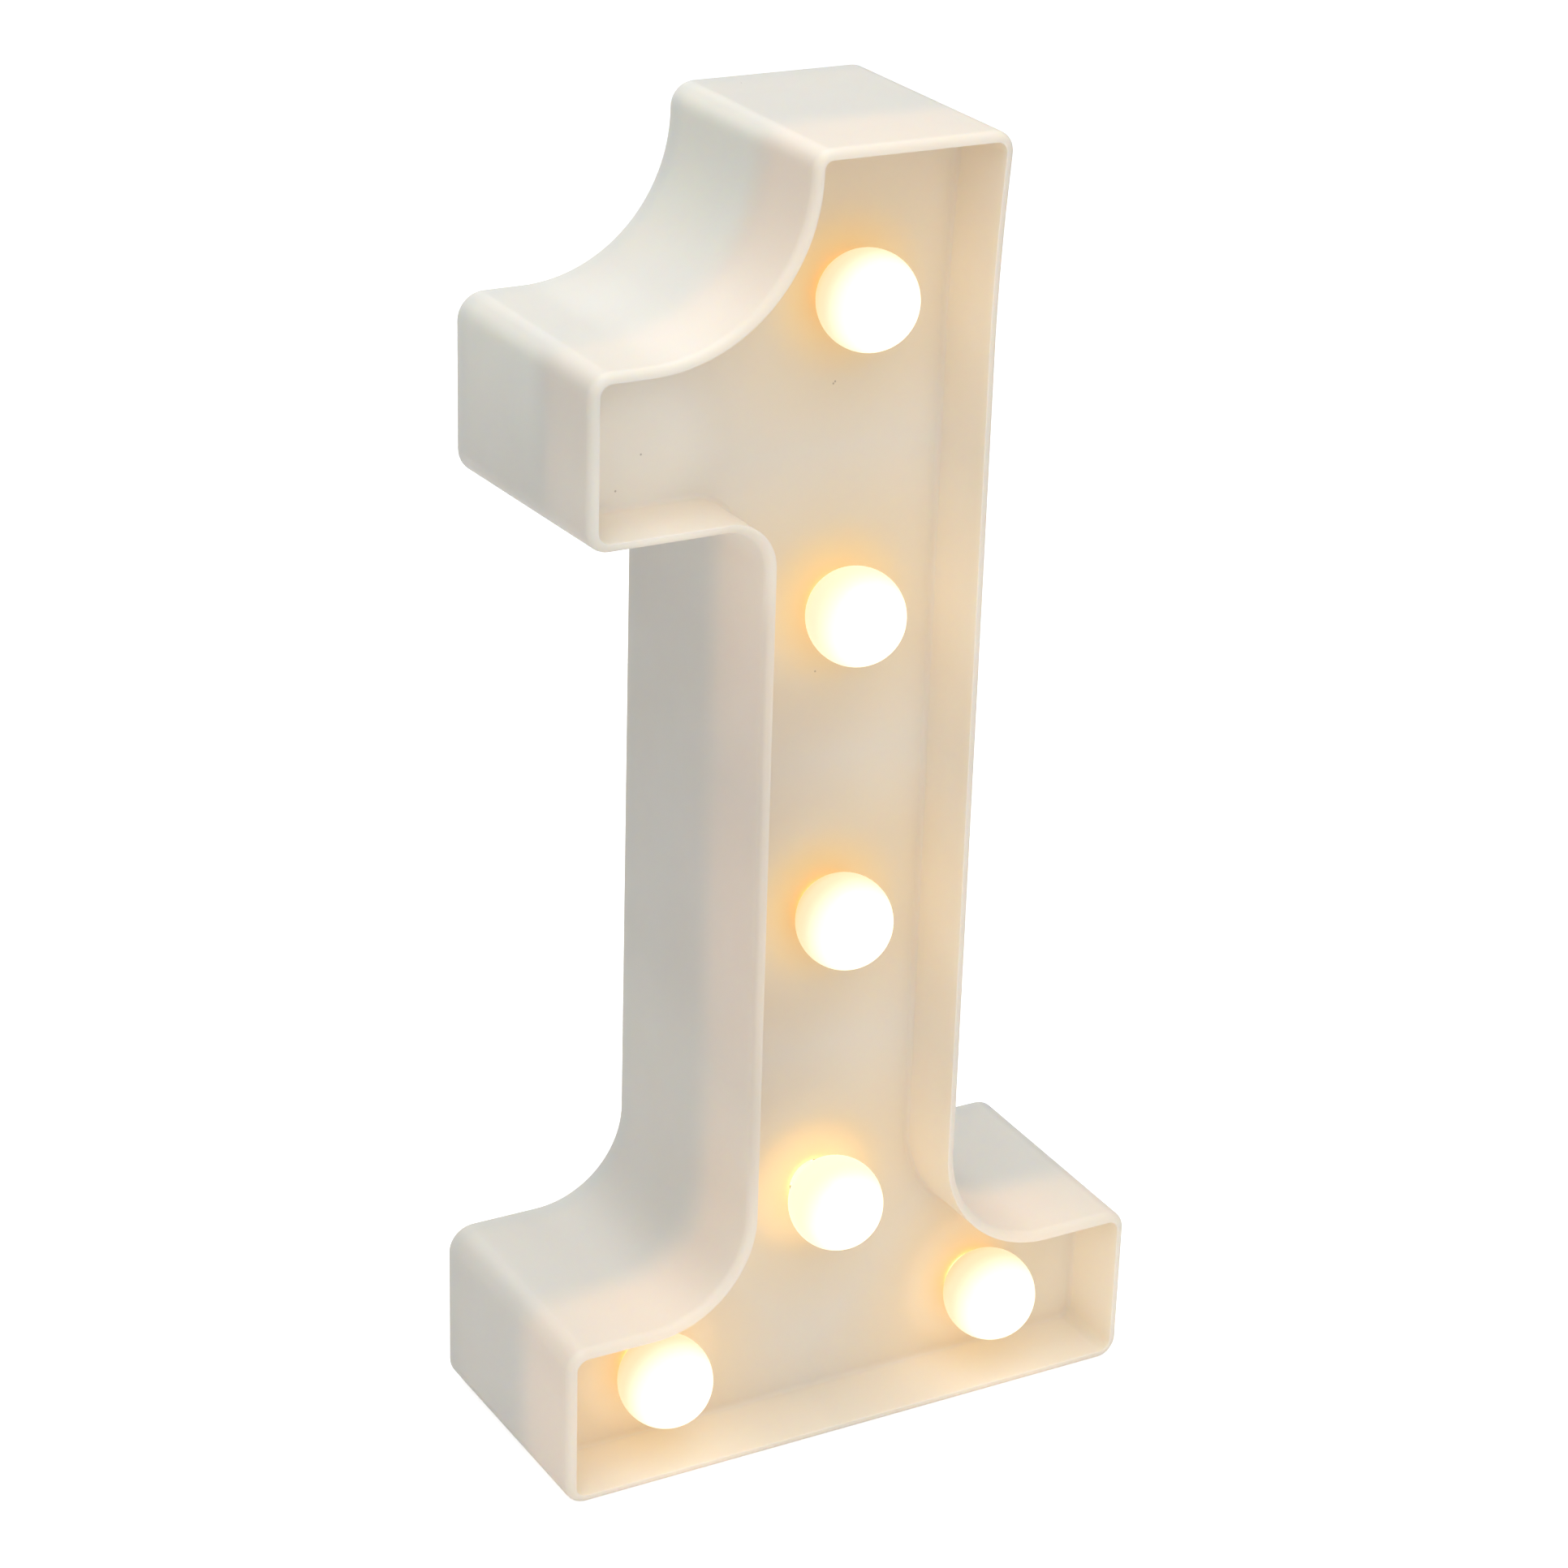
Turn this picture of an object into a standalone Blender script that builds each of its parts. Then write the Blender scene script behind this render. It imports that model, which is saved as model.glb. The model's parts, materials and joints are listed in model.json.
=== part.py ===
"""Light-up marquee number one.

A moulded tray in the shape of the digit carries six globe lamps. A back cover closes
its rear, with a well for two cells, a hinged door, a slide switch and a keyhole.
X runs to the right seen from the front, Y from the open rim to the back cover, and
Z is up. The digit stands on z = 0. Lengths are in metres.
"""
import math

import bmesh
import bpy
from mathutils import Matrix, Vector

# Outline of the digit at its open rim
digit_height = 0.2205
base_width = 0.1066
base_height = 0.0288
stem_width = 0.0391
stem_offset = -0.0015
flag_reach = 0.0300
flag_drop = 0.0293
flag_thickness = 0.0276
head_width = 0.0346
head_flare = 0.0016
flare_start_share = 0.80
outer_corner = 0.0036
head_left_corner = 0.0030
armpit_radius = 0.0065
flag_arc = 0.0261
left_foot_arc = 0.0169
right_foot_arc = 0.0190
corner_steps = 4
flare_steps = 3
armpit_steps = 6
foot_arc_steps = 8
flag_arc_steps = 14

# Tray: walls, floor that carries the lamps, and the rear rebate
shell_depth = 0.0442
wall_draft = 0.0008
rim_wall = 0.0016
rim_outer_round = 0.0010
rim_inner_round = 0.0003
recess_depth = 0.0133
recess_draft = 0.0001
floor_thickness = 0.0018
floor_fillet = 0.0010
rear_wall = 0.0017
rebate_wall = 0.0009
rear_edge_break = 0.0002

# Gaps, overruns and other small shared sizes
gap = 0.0003
bite = 0.0004
overrun = 0.0010
smallest_corner = 0.0004

# Globe lamps and the light diodes in their necks
globe_radius = 0.0079
globe_wall = 0.0010
neck_radius = 0.0042
neck_tail_share = 0.32
snap_bead = 0.0004
socket_wall = 0.0012
socket_height_share = 0.17
socket_bore_gap = 0.0003
diode_radius = 0.0025
diode_length = 0.0086
diode_flange = 0.0004
diode_flange_thickness = 0.0010
leg_pitch = 0.00254
leg_side = 0.0006
leg_length_share = 0.30
stem_lamp_height_shares = (0.8848, 0.6549, 0.4181, 0.1859)
base_lamp_height = 0.0150
left_lamp_inset = 0.0209
right_lamp_inset = 0.0230

# Back cover and its screws
cover_thickness = 0.0020
cover_edge_break = 0.0003
screw_shank = 0.0012
screw_head = 0.0027
screw_head_height = 0.0014
screw_head_rim = 0.0003
screw_length = 0.0100
screw_point = 0.0016
boss_wall = 0.0017
boss_draft = 0.0005
screw_inset = 0.0090
stem_screw_offset = 0.0105
upper_screw_rise = 0.0165
lower_screw_drop = 0.0113

# Keyhole for a wall hook
keyhole_drop = 0.0245
keyhole_entry = 0.0045
keyhole_slot = 0.0023
keyhole_rise = 0.0085

# Two cells, side by side
cell_radius = 0.0071
cell_length = 0.0502
cell_nub_radius = 0.00275
cell_nub_height = 0.0012
cell_end_break = 0.0006
cell_side_gap = 0.0006
cell_pitch_gap = 0.0008
battery_height_share = 0.458

# Contacts and springs
contact_thickness = 0.0005
contact_depth = 0.0088
contact_width = 0.0098
contact_tail_width = 0.0020
contact_tail_length = 0.0040
spring_height = 0.0039
spring_wire = 0.00035
spring_wide = 0.0040
spring_narrow = 0.0022
spring_turns = 3

# Battery well and door
well_wall = 0.0012
divider_width = 0.0008
divider_height = 0.0040
divider_share = 0.7
door_thickness = 0.0018
door_width = 0.0328
seat_plate = 0.0012
seat_frame = 0.0010
tab_room = 0.0036
tab_width = 0.0060
tab_spread = 0.0190
tab_thickness = 0.0012
tab_reach = 0.0032
tab_riser_low = 0.0005
tab_riser_high = 0.0015
latch_room = 0.0030
latch_width = 0.0100
latch_thickness = 0.0012
latch_depth = 0.0042
latch_setback = 0.0004
latch_ridge = 0.00025
catch_ridge = 0.0002
ridge_height = 0.0008
groove_count = 4
groove_width = 0.0140
groove_depth = 0.0006
groove_pitch = 0.0024
thumb_notch_radius = 0.0075
thumb_notch_depth = 0.0012

# Slide switch
switch_rise = 0.0134
switch_travel = 0.0040
knob_length = 0.0040
knob_height = 0.0038
knob_below = 0.0002
shoe_length = 0.0056
shoe_height = 0.0052
shoe_thickness = 0.0024
switch_pocket_margin = 0.0024
switch_pocket_depth = 0.0009
switch_depth = 0.0055
switch_wall = 0.0012
ear_length = 0.0044
ear_thickness = 0.0014
ear_post_radius = 0.0011
pin_pitch = 0.0030
pin_side = 0.0007
pin_length = 0.0036

# Small circuit board with its resistor
board_drop = 0.0415
board_shift = -0.0160
board_width = 0.0160
board_tall = 0.0100
board_thickness = 0.0012
board_post_radius = 0.0015
board_post_length = 0.0040
resistor_radius = 0.0011
resistor_length = 0.0062
resistor_neck_share = 0.82

# Internal leads
lead_radius = 0.00055
lead_tail = 0.0030
lead_hump = 0.0020
lead_samples = 3
lead_sides = 1

sides_fine = 18
sides_small = 12
sides_cut = 20

# Planes and centres that follow from the sizes above
socket_bore = neck_radius + socket_bore_gap
globe_seat = math.sqrt((globe_radius + gap) ** 2 - socket_bore ** 2)
globe_proud = max(globe_radius + globe_seat - recess_depth, 0)
rim_y = (globe_proud - shell_depth) / 2
back_y = rim_y + shell_depth
floor_front_y = rim_y + recess_depth
floor_back_y = floor_front_y + floor_thickness
rebate_y = back_y - cover_thickness - gap
cover_inner_y = back_y - cover_thickness
globe_y = floor_front_y - globe_seat
stem_left = stem_offset - stem_width / 2
stem_right = stem_offset + stem_width / 2
base_left = -base_width / 2
base_right = base_width / 2
flag_left = stem_left - flag_reach
flag_top = digit_height - flag_drop
flag_underside = flag_top - flag_thickness
head_right = stem_right + head_flare
head_left = head_right - head_width
keyhole_height = digit_height - keyhole_drop
board_height = digit_height - board_drop
battery_height = digit_height * battery_height_share

# Door and battery well, from the cells outwards
cell_pitch = 2 * cell_radius + cell_pitch_gap
well_width = cell_pitch + 2 * cell_radius + 2 * cell_side_gap
contact_stack = 2 * gap + contact_thickness
spring_stack = contact_stack + spring_height + gap
well_length = contact_stack + cell_nub_height + cell_length + spring_stack
well_low = battery_height - well_length / 2
well_high = battery_height + well_length / 2
door_inner_y = back_y - door_thickness
cell_y = door_inner_y - cell_side_gap - cell_radius
well_floor_y = cell_y - cell_radius - cell_side_gap
hinge_z = well_low - well_wall - tab_room
hinge_y = back_y - door_thickness / 2
door_length = well_high + well_wall + latch_room - hinge_z
seat_depth = door_thickness + gap
lip_thickness = (cover_thickness + seat_depth) / 2
switch_height = hinge_z + door_length + switch_rise

# Lamp necks, sockets and diode legs share the room in front of the well
lamp_room = well_floor_y - well_wall - floor_back_y
neck_tail = lamp_room * neck_tail_share
socket_height = lamp_room * socket_height_share
leg_length = lamp_room * leg_length_share


def clear_scene():
    """Remove the objects that a new scene starts with."""
    for thing in list(bpy.data.objects):
        bpy.data.objects.remove(thing, do_unlink=True)


def make_collection(name):
    """A collection in the scene, for the parts or for the cutters."""
    group = bpy.data.collections.new(name)
    bpy.context.scene.collection.children.link(group)
    return group


def make_material(name, colour, roughness, metallic=0.0, glow=0.0):
    """A Principled material in one plain colour, lit from inside if it glows."""
    material = bpy.data.materials.new(name)
    material.use_nodes = True
    shader = material.node_tree.nodes["Principled BSDF"]
    shader.inputs["Base Color"].default_value = (*colour, 1.0)
    shader.inputs["Roughness"].default_value = roughness
    shader.inputs["Metallic"].default_value = metallic
    if glow:
        shader.inputs["Emission Color"].default_value = (*colour, 1.0)
        shader.inputs["Emission Strength"].default_value = glow
    return material


def add_part(name, mesh, material, smooth_angle=30):
    """A named piece of the lamp."""
    piece = bpy.data.objects.new(name, mesh)
    parts.objects.link(piece)
    piece.data.materials.append(material)
    mesh.shade_smooth()
    mesh.set_sharp_from_angle(angle=math.radians(smooth_angle))
    return piece


def add_tool(name, mesh):
    """A shape that cuts or joins, kept apart from the pieces."""
    tool = bpy.data.objects.new(name, mesh)
    tools.objects.link(tool)
    tool.hide_render = True
    tool.display_type = "WIRE"
    return tool


def mesh_from(name, bm):
    """Close a bmesh with its faces pointing out and make a mesh of it."""
    bmesh.ops.recalc_face_normals(bm, faces=bm.faces)
    mesh = bpy.data.meshes.new(name)
    bm.to_mesh(mesh)
    bm.free()
    return mesh


def box_mesh(name, low, high):
    """A box between two opposite corners."""
    bm = bmesh.new()
    bmesh.ops.create_cube(bm, size=1.0)
    low, high = Vector(low), Vector(high)
    size = high - low
    bmesh.ops.scale(bm, vec=size, verts=bm.verts)
    bmesh.ops.translate(bm, vec=(low + high) / 2, verts=bm.verts)
    return mesh_from(name, bm)


def rod_mesh(name, x, z, start, end, radius, end_radius=None, sides=sides_cut):
    """A round rod or cone along Y, from start to end."""
    bm = bmesh.new()
    bmesh.ops.create_cone(
        bm, cap_ends=True, segments=sides, radius1=radius,
        radius2=radius if end_radius is None else end_radius, depth=end - start)
    turn = Matrix.Rotation(math.radians(-90), 4, "X")
    place = Matrix.Translation((x, (start + end) / 2, z))
    bmesh.ops.transform(bm, matrix=place @ turn, verts=bm.verts)
    return mesh_from(name, bm)


def slab_mesh(name, outline, low_x, high_x):
    """A flat outline in Y and Z, extruded along X."""
    bm = bmesh.new()
    face = bm.faces.new([bm.verts.new((low_x, y, z)) for y, z in outline])
    grown = bmesh.ops.extrude_face_region(bm, geom=[face])["geom"]
    moved = [item for item in grown if isinstance(item, bmesh.types.BMVert)]
    bmesh.ops.translate(bm, vec=(high_x - low_x, 0, 0), verts=moved)
    return mesh_from(name, bm)


def loft_mesh(name, rings):
    """A closed body through rings of equal point count, each a depth and an outline."""
    bm = bmesh.new()
    loops = [[bm.verts.new((x, y, z)) for x, z in outline] for y, outline in rings]
    count = len(loops[0])
    for near, far in zip(loops, loops[1:]):
        for i in range(count):
            j = (i + 1) % count
            bm.faces.new((near[i], near[j], far[j], far[i]))
    bm.faces.new(loops[0])
    bm.faces.new(loops[-1])
    return mesh_from(name, bm)


def combine(piece, tool, operation):
    """Cut the tool from the piece, or join it on."""
    step = piece.modifiers.new(tool.name, "BOOLEAN")
    step.operation = operation
    step.solver = "EXACT"
    step.object = tool


def cut(piece, mesh):
    combine(piece, add_tool(mesh.name, mesh), "DIFFERENCE")


def join(piece, mesh):
    combine(piece, add_tool(mesh.name, mesh), "UNION")


def turned(name, profile, material, sides, place):
    """A turned piece. The profile gives radius and height, down its outer side."""
    mesh = bpy.data.meshes.new(name)
    points = [(radius, 0, height) for radius, height in profile]
    mesh.from_pydata(points, [(i, i + 1) for i in range(len(points) - 1)], [])
    piece = bpy.data.objects.new(name, mesh)
    parts.objects.link(piece)
    mesh.materials.append(material)
    piece.matrix_world = place
    screw = piece.modifiers.new("turn", "SCREW")
    screw.steps = sides
    screw.render_steps = sides
    screw.use_merge_vertices = True
    screw.merge_threshold = 0.00001
    screw.use_smooth_shade = True
    return piece


def facing_front(x, y, z):
    """Place of a turned piece whose top faces the open front."""
    return Matrix.Translation((x, y, z)) @ Matrix.Rotation(math.radians(90), 4, "X")


def facing_back(x, y, z):
    """Place of a turned piece whose top faces the back cover."""
    return Matrix.Translation((x, y, z)) @ Matrix.Rotation(math.radians(-90), 4, "X")


def arc_profile(radius, start, end, steps, height=0.0):
    """Points of an arc about the axis, by angle from the pole in degrees."""
    angles = [math.radians(start + (end - start) * i / steps) for i in range(steps + 1)]
    return [(radius * math.sin(a), height + radius * math.cos(a)) for a in angles]


def digit_corners():
    """Corners of the digit, anticlockwise from the lower left, with radius and steps."""
    flare_z = digit_height * flare_start_share
    flare_length = digit_height - flare_z
    flare_radius = flare_length ** 2 / (2 * head_flare)
    return [
        ((base_left, 0), outer_corner, corner_steps),
        ((base_right, 0), outer_corner, corner_steps),
        ((base_right, base_height), outer_corner, corner_steps),
        ((stem_right, base_height), right_foot_arc, foot_arc_steps),
        ((stem_right, (flare_z + digit_height) / 2), flare_radius / 2, flare_steps),
        ((head_right, digit_height), outer_corner, corner_steps),
        ((head_left, digit_height), head_left_corner, corner_steps),
        ((head_left, flag_top), flag_arc, flag_arc_steps),
        ((flag_left, flag_top), outer_corner, corner_steps),
        ((flag_left, flag_underside), outer_corner, corner_steps),
        ((stem_left, flag_underside), armpit_radius, armpit_steps),
        ((stem_left, base_height), left_foot_arc, foot_arc_steps),
        ((base_left, base_height), outer_corner, corner_steps),
    ]


def fillet(corner, before, after, radius, steps):
    """Arc that rounds one corner between its two neighbours."""
    to_before = (before - corner).normalized()
    to_after = (after - corner).normalized()
    half = to_before.angle(to_after) / 2
    centre = corner + (to_before + to_after).normalized() * radius / math.sin(half)
    first = corner + to_before * radius / math.tan(half) - centre
    last = corner + to_after * radius / math.tan(half) - centre
    sweep = first.angle_signed(last)
    return [centre + Matrix.Rotation(-sweep * i / steps, 2) @ first for i in range(steps + 1)]


def digit_outline(spread, inset):
    """Outline of the digit, grown by the draft spread and drawn in by the inset.

    The sole stays level, so the spread leaves it where it is.
    """
    corners = digit_corners()
    count = len(corners)
    points = [Vector(point) for point, radius, steps in corners]
    lines = []
    for i, point in enumerate(points):
        along = (points[(i + 1) % count] - point).normalized()
        outward = Vector((along.y, -along.x))
        lines.append((point + outward * ((spread if i else 0) - inset), along))
    moved = []
    for i in range(count):
        (start, along), (other, across) = lines[i - 1], lines[i]
        reach = (other - start).cross(across) / along.cross(across)
        moved.append(start + along * reach)
    outline = []
    for i, (point, radius, steps) in enumerate(corners):
        turn = lines[i - 1][1].cross(lines[i][1])
        grow = spread - inset
        size = max(radius + (grow if turn > 0 else -grow), smallest_corner)
        outline += fillet(moved[i], moved[i - 1], moved[(i + 1) % count], size, steps)
    return outline


def spread_at(y):
    """How far the drafted walls have spread at a depth."""
    return wall_draft * (y - rim_y) / shell_depth


def lamp_places():
    """Centres of the six globes, from the top down and then along the base."""
    places = [(stem_offset, digit_height * share) for share in stem_lamp_height_shares]
    places.append((base_left + left_lamp_inset, base_lamp_height))
    places.append((base_right - right_lamp_inset, base_lamp_height))
    return places


def screw_places():
    """Centres of the six cover screws."""
    return [
        (flag_left + screw_inset, flag_underside + flag_thickness / 2),
        (head_right - screw_inset, digit_height - screw_inset),
        (stem_offset + stem_screw_offset, switch_height + upper_screw_rise),
        (stem_offset - stem_screw_offset, hinge_z - lower_screw_drop),
        (base_left + screw_inset, base_lamp_height),
        (base_right - screw_inset, base_lamp_height),
    ]


def build_front_shell():
    """The moulded tray: drafted walls, lamp floor, lamp sockets and screw bosses."""
    def ring(y, inset):
        return y, digit_outline(spread_at(y), inset)

    def recess(y):
        share = (y - rim_y) / recess_depth
        return spread_at(y) + rim_wall + recess_draft * share

    rings = [
        ring(floor_back_y, rear_wall),
        ring(rebate_y, rear_wall),
        ring(rebate_y, rebate_wall),
        ring(back_y, rebate_wall),
        ring(back_y, rear_edge_break),
        ring(back_y - rear_edge_break, 0),
    ]
    for angle in (0, 30, 60, 90):
        lean = math.radians(angle)
        rings.append(ring(rim_y + rim_outer_round * (1 - math.sin(lean)),
                          rim_outer_round * (1 - math.cos(lean))))
    rings.append(ring(rim_y, rim_wall - rim_inner_round))
    rings.append(ring(rim_y + rim_inner_round, recess(rim_y + rim_inner_round)))
    for angle in (0, 45, 90):
        lean = math.radians(angle)
        y = floor_front_y - floor_fillet * (1 - math.sin(lean))
        rings.append(ring(y, recess(y) + floor_fillet * (1 - math.cos(lean))))
    shell = add_part("front_shell", loft_mesh("front_shell", rings), shell_plastic)

    for i, (x, z) in enumerate(lamp_places(), 1):
        join(shell, rod_mesh(f"socket_{i}", x, z, floor_back_y - bite,
                             floor_back_y + socket_height, socket_bore + socket_wall))
        cut(shell, rod_mesh(f"socket_bore_{i}", x, z, floor_front_y - overrun,
                            floor_back_y + socket_height + overrun, socket_bore))
    pilot = screw_shank + gap
    for i, (x, z) in enumerate(screw_places(), 1):
        join(shell, rod_mesh(f"boss_{i}", x, z, floor_back_y - bite, cover_inner_y - gap,
                             pilot + boss_wall + boss_draft, pilot + boss_wall))
        cut(shell, rod_mesh(f"pilot_{i}", x, z, back_y - screw_length - overrun,
                            back_y, pilot, sides=sides_small))
    return shell


def build_lamps():
    """Hollow globes with snap-in necks, each with a light diode in its neck."""
    neck_start = math.degrees(math.asin(neck_radius / globe_radius))
    neck_end = floor_back_y + neck_tail - globe_y
    bead = floor_back_y + socket_height + gap - globe_y
    bore = diode_radius + gap
    inside = globe_radius - globe_wall
    bore_start = math.degrees(math.asin(bore / inside))
    flange_room = diode_flange_thickness + gap
    profile = arc_profile(globe_radius, 0, 180 - neck_start, 8)
    profile += [
        (neck_radius, -bead),
        (neck_radius + snap_bead, -bead),
        (neck_radius, -neck_end),
        (diode_radius + diode_flange + gap, -neck_end),
        (diode_radius + diode_flange + gap, flange_room - neck_end),
        (bore, flange_room - neck_end),
    ]
    profile += arc_profile(inside, 180 - bore_start, 0, 4)

    collar = diode_radius + diode_flange
    collar_top = diode_flange_thickness - neck_end
    diode_profile = arc_profile(diode_radius, 0, 90, 3, diode_length - neck_end - diode_radius)
    diode_profile += [
        (diode_radius, collar_top),
        (collar, collar_top),
        (collar, -neck_end),
        (0, -neck_end),
    ]
    leg_start = floor_back_y + neck_tail
    for i, (x, z) in enumerate(lamp_places(), 1):
        turned(f"bulb_{i}", profile, globe_plastic, sides_fine, facing_front(x, globe_y, z))
        diode = turned(f"led_{i}", diode_profile, diode_resin, sides_small,
                       facing_front(x, globe_y, z))
        upright = i > len(stem_lamp_height_shares)
        for side, reach in (("a", leg_pitch / 2), ("b", -leg_pitch / 2)):
            leg_x = x if upright else x + reach
            leg_z = z + reach if upright else z
            half = leg_side / 2
            join(diode, box_mesh(f"leg_{side}_{i}",
                                 (leg_x - half, leg_start - bite, leg_z - half),
                                 (leg_x + half, leg_start + leg_length, leg_z + half)))


def build_screws():
    """Countersunk screws that hold the cover to the bosses."""
    profile = [
        (0, 0),
        (screw_head, 0),
        (screw_head, -screw_head_rim),
        (screw_shank, -screw_head_height),
        (screw_shank, screw_point - screw_length),
        (0, -screw_length),
    ]
    for i, (x, z) in enumerate(screw_places(), 1):
        turned(f"cover_screw_{i}", profile, zinc, sides_small,
               facing_back(x, back_y - gap, z))


def keyhole_meshes():
    """Round entry and rising slot for a wall hook."""
    entry = rod_mesh("keyhole_entry", stem_offset, keyhole_height, cover_inner_y - overrun,
                     back_y + overrun, keyhole_entry)
    slot = box_mesh("keyhole_slot",
                    (stem_offset - keyhole_slot, cover_inner_y - overrun, keyhole_height),
                    (stem_offset + keyhole_slot, back_y + overrun,
                     keyhole_height + keyhole_rise))
    end = rod_mesh("keyhole_end", stem_offset, keyhole_height + keyhole_rise,
                   cover_inner_y - overrun, back_y + overrun, keyhole_slot)
    return entry, slot, end


def build_back_cover():
    """The cover plate with its battery well, door seat, switch slot and keyhole."""
    edge = rebate_wall + gap
    rings = [
        (cover_inner_y, digit_outline(spread_at(cover_inner_y), edge)),
        (back_y - cover_edge_break, digit_outline(spread_at(back_y - cover_edge_break), edge)),
        (back_y, digit_outline(spread_at(back_y), edge + cover_edge_break)),
    ]
    cover = add_part("back_cover", loft_mesh("back_cover", rings), shell_plastic)
    x = stem_offset
    door_half = door_width / 2 + gap
    frame_half = door_half + seat_frame
    seat_low = hinge_z - door_thickness / 2 - gap
    seat_high = hinge_z + door_length + gap
    frame_y = back_y - seat_depth - seat_plate
    well_half = well_width / 2

    join(cover, box_mesh("seat_block", (x - frame_half, frame_y, seat_low - seat_frame),
                         (x + frame_half, cover_inner_y + bite, seat_high + seat_frame)))
    join(cover, box_mesh("well_block",
                         (x - well_half - well_wall, well_floor_y - well_wall,
                          well_low - well_wall),
                         (x + well_half + well_wall, frame_y + bite, well_high + well_wall)))
    latch_half = latch_width / 2
    catch_y = door_inner_y - latch_depth
    join(cover, box_mesh("catch_wall", (x - latch_half - seat_frame, catch_y, seat_high),
                         (x + latch_half + seat_frame, frame_y + bite,
                          seat_high + seat_frame)))
    cut(cover, box_mesh("door_recess", (x - door_half, back_y - seat_depth, seat_low),
                        (x + door_half, back_y + overrun, seat_high)))
    cut(cover, box_mesh("well_room", (x - well_half, well_floor_y, well_low),
                        (x + well_half, back_y, well_high)))
    slot_low = hinge_z - door_thickness / 2 - seat_frame - gap - overrun
    slot_high = hinge_z + tab_room - gap
    for side, shift in (("left", -tab_spread / 2), ("right", tab_spread / 2)):
        half = tab_width / 2 + gap
        cut(cover, box_mesh(f"tab_slot_{side}",
                            (x + shift - half, frame_y - overrun, slot_low),
                            (x + shift + half, back_y - lip_thickness, slot_high)))
    latch_low = seat_high - gap - latch_setback - latch_thickness - gap
    cut(cover, box_mesh("latch_slot", (x - latch_half - gap, catch_y - overrun, latch_low),
                        (x + latch_half + gap, back_y - lip_thickness, seat_high)))
    join(cover, slab_mesh("catch_ridge", [
        (catch_y + 2 * ridge_height, seat_high + bite),
        (catch_y + 2 * ridge_height, seat_high - catch_ridge),
        (catch_y + 3 * ridge_height, seat_high + bite)], x - latch_half, x + latch_half))
    divider_half = divider_width / 2
    divider_reach = well_length * divider_share / 2
    join(cover, box_mesh("cell_divider",
                         (x - divider_half, well_floor_y - bite,
                          battery_height - divider_reach),
                         (x + divider_half, well_floor_y + divider_height,
                          battery_height + divider_reach)))
    for side, shift in (("left", -cell_pitch / 2), ("right", cell_pitch / 2)):
        half = contact_tail_width / 2 + gap
        plate = well_high - gap - contact_thickness
        cut(cover, box_mesh(f"tail_slot_{side}",
                            (x + shift - half, cell_y - contact_thickness / 2 - gap, plate),
                            (x + shift + half, cell_y + contact_thickness / 2 + gap,
                             well_high + well_wall + overrun)))
    thumb_y = back_y + thumb_notch_radius - thumb_notch_depth
    cut(cover, sphere_mesh("thumb_notch", (x, thumb_y, seat_high), thumb_notch_radius))
    build_switch_opening(cover)
    for mesh in keyhole_meshes():
        cut(cover, mesh)
    for i, (screw_x, screw_z) in enumerate(screw_places(), 1):
        hole = screw_shank + gap
        top = screw_head + gap
        cone = screw_head_height - screw_head_rim
        sink = gap + screw_head_rim
        cut(cover, rod_mesh(f"screw_hole_{i}", screw_x, screw_z, cover_inner_y - overrun,
                            back_y, hole, sides=sides_small))
        cut(cover, rod_mesh(f"countersink_{i}", screw_x, screw_z, back_y - sink - cone,
                            back_y - sink, hole, top, sides=sides_small))
        cut(cover, rod_mesh(f"head_room_{i}", screw_x, screw_z, back_y - sink - bite / 2,
                            back_y + overrun, top, sides=sides_small))
    for i, shift in enumerate((-board_width / 4, board_width / 4), 1):
        join(cover, rod_mesh(f"board_post_{i}", stem_offset + board_shift + shift,
                             board_height, cover_inner_y - board_post_length,
                             cover_inner_y + bite, board_post_radius, sides=sides_small))
    return cover


def sphere_mesh(name, centre, radius):
    """A ball that scoops a shallow hollow."""
    bm = bmesh.new()
    bmesh.ops.create_uvsphere(bm, u_segments=24, v_segments=16, radius=radius)
    bmesh.ops.translate(bm, vec=centre, verts=bm.verts)
    return mesh_from(name, bm)


def build_switch_opening(cover):
    """Sunk pocket and slot for the slider, with posts that carry the switch."""
    x = stem_offset - switch_travel / 2
    slot_half = (knob_length + switch_travel) / 2 + gap
    slot_rise = knob_height / 2 + gap
    margin = switch_pocket_margin
    cut(cover, box_mesh("switch_pocket",
                        (x - slot_half - margin, back_y - switch_pocket_depth,
                         switch_height - slot_rise - margin),
                        (x + slot_half + margin, back_y + overrun,
                         switch_height + slot_rise + margin)))
    cut(cover, box_mesh("switch_slot",
                        (x - slot_half, cover_inner_y - overrun, switch_height - slot_rise),
                        (x + slot_half, back_y, switch_height + slot_rise)))
    for i, side in enumerate((-1, 1), 1):
        join(cover, rod_mesh(f"switch_post_{i}", x + side * ear_centre(), switch_height,
                             cover_inner_y - gap - ear_thickness - overrun,
                             cover_inner_y + bite, ear_post_radius, sides=sides_small))


def switch_half_length():
    """Half the length of the switch body without its ears."""
    return (shoe_length + switch_travel) / 2 + gap + switch_wall


def ear_centre():
    """Distance from the switch's middle to the hole in each ear."""
    return switch_half_length() + ear_length / 2


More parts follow.
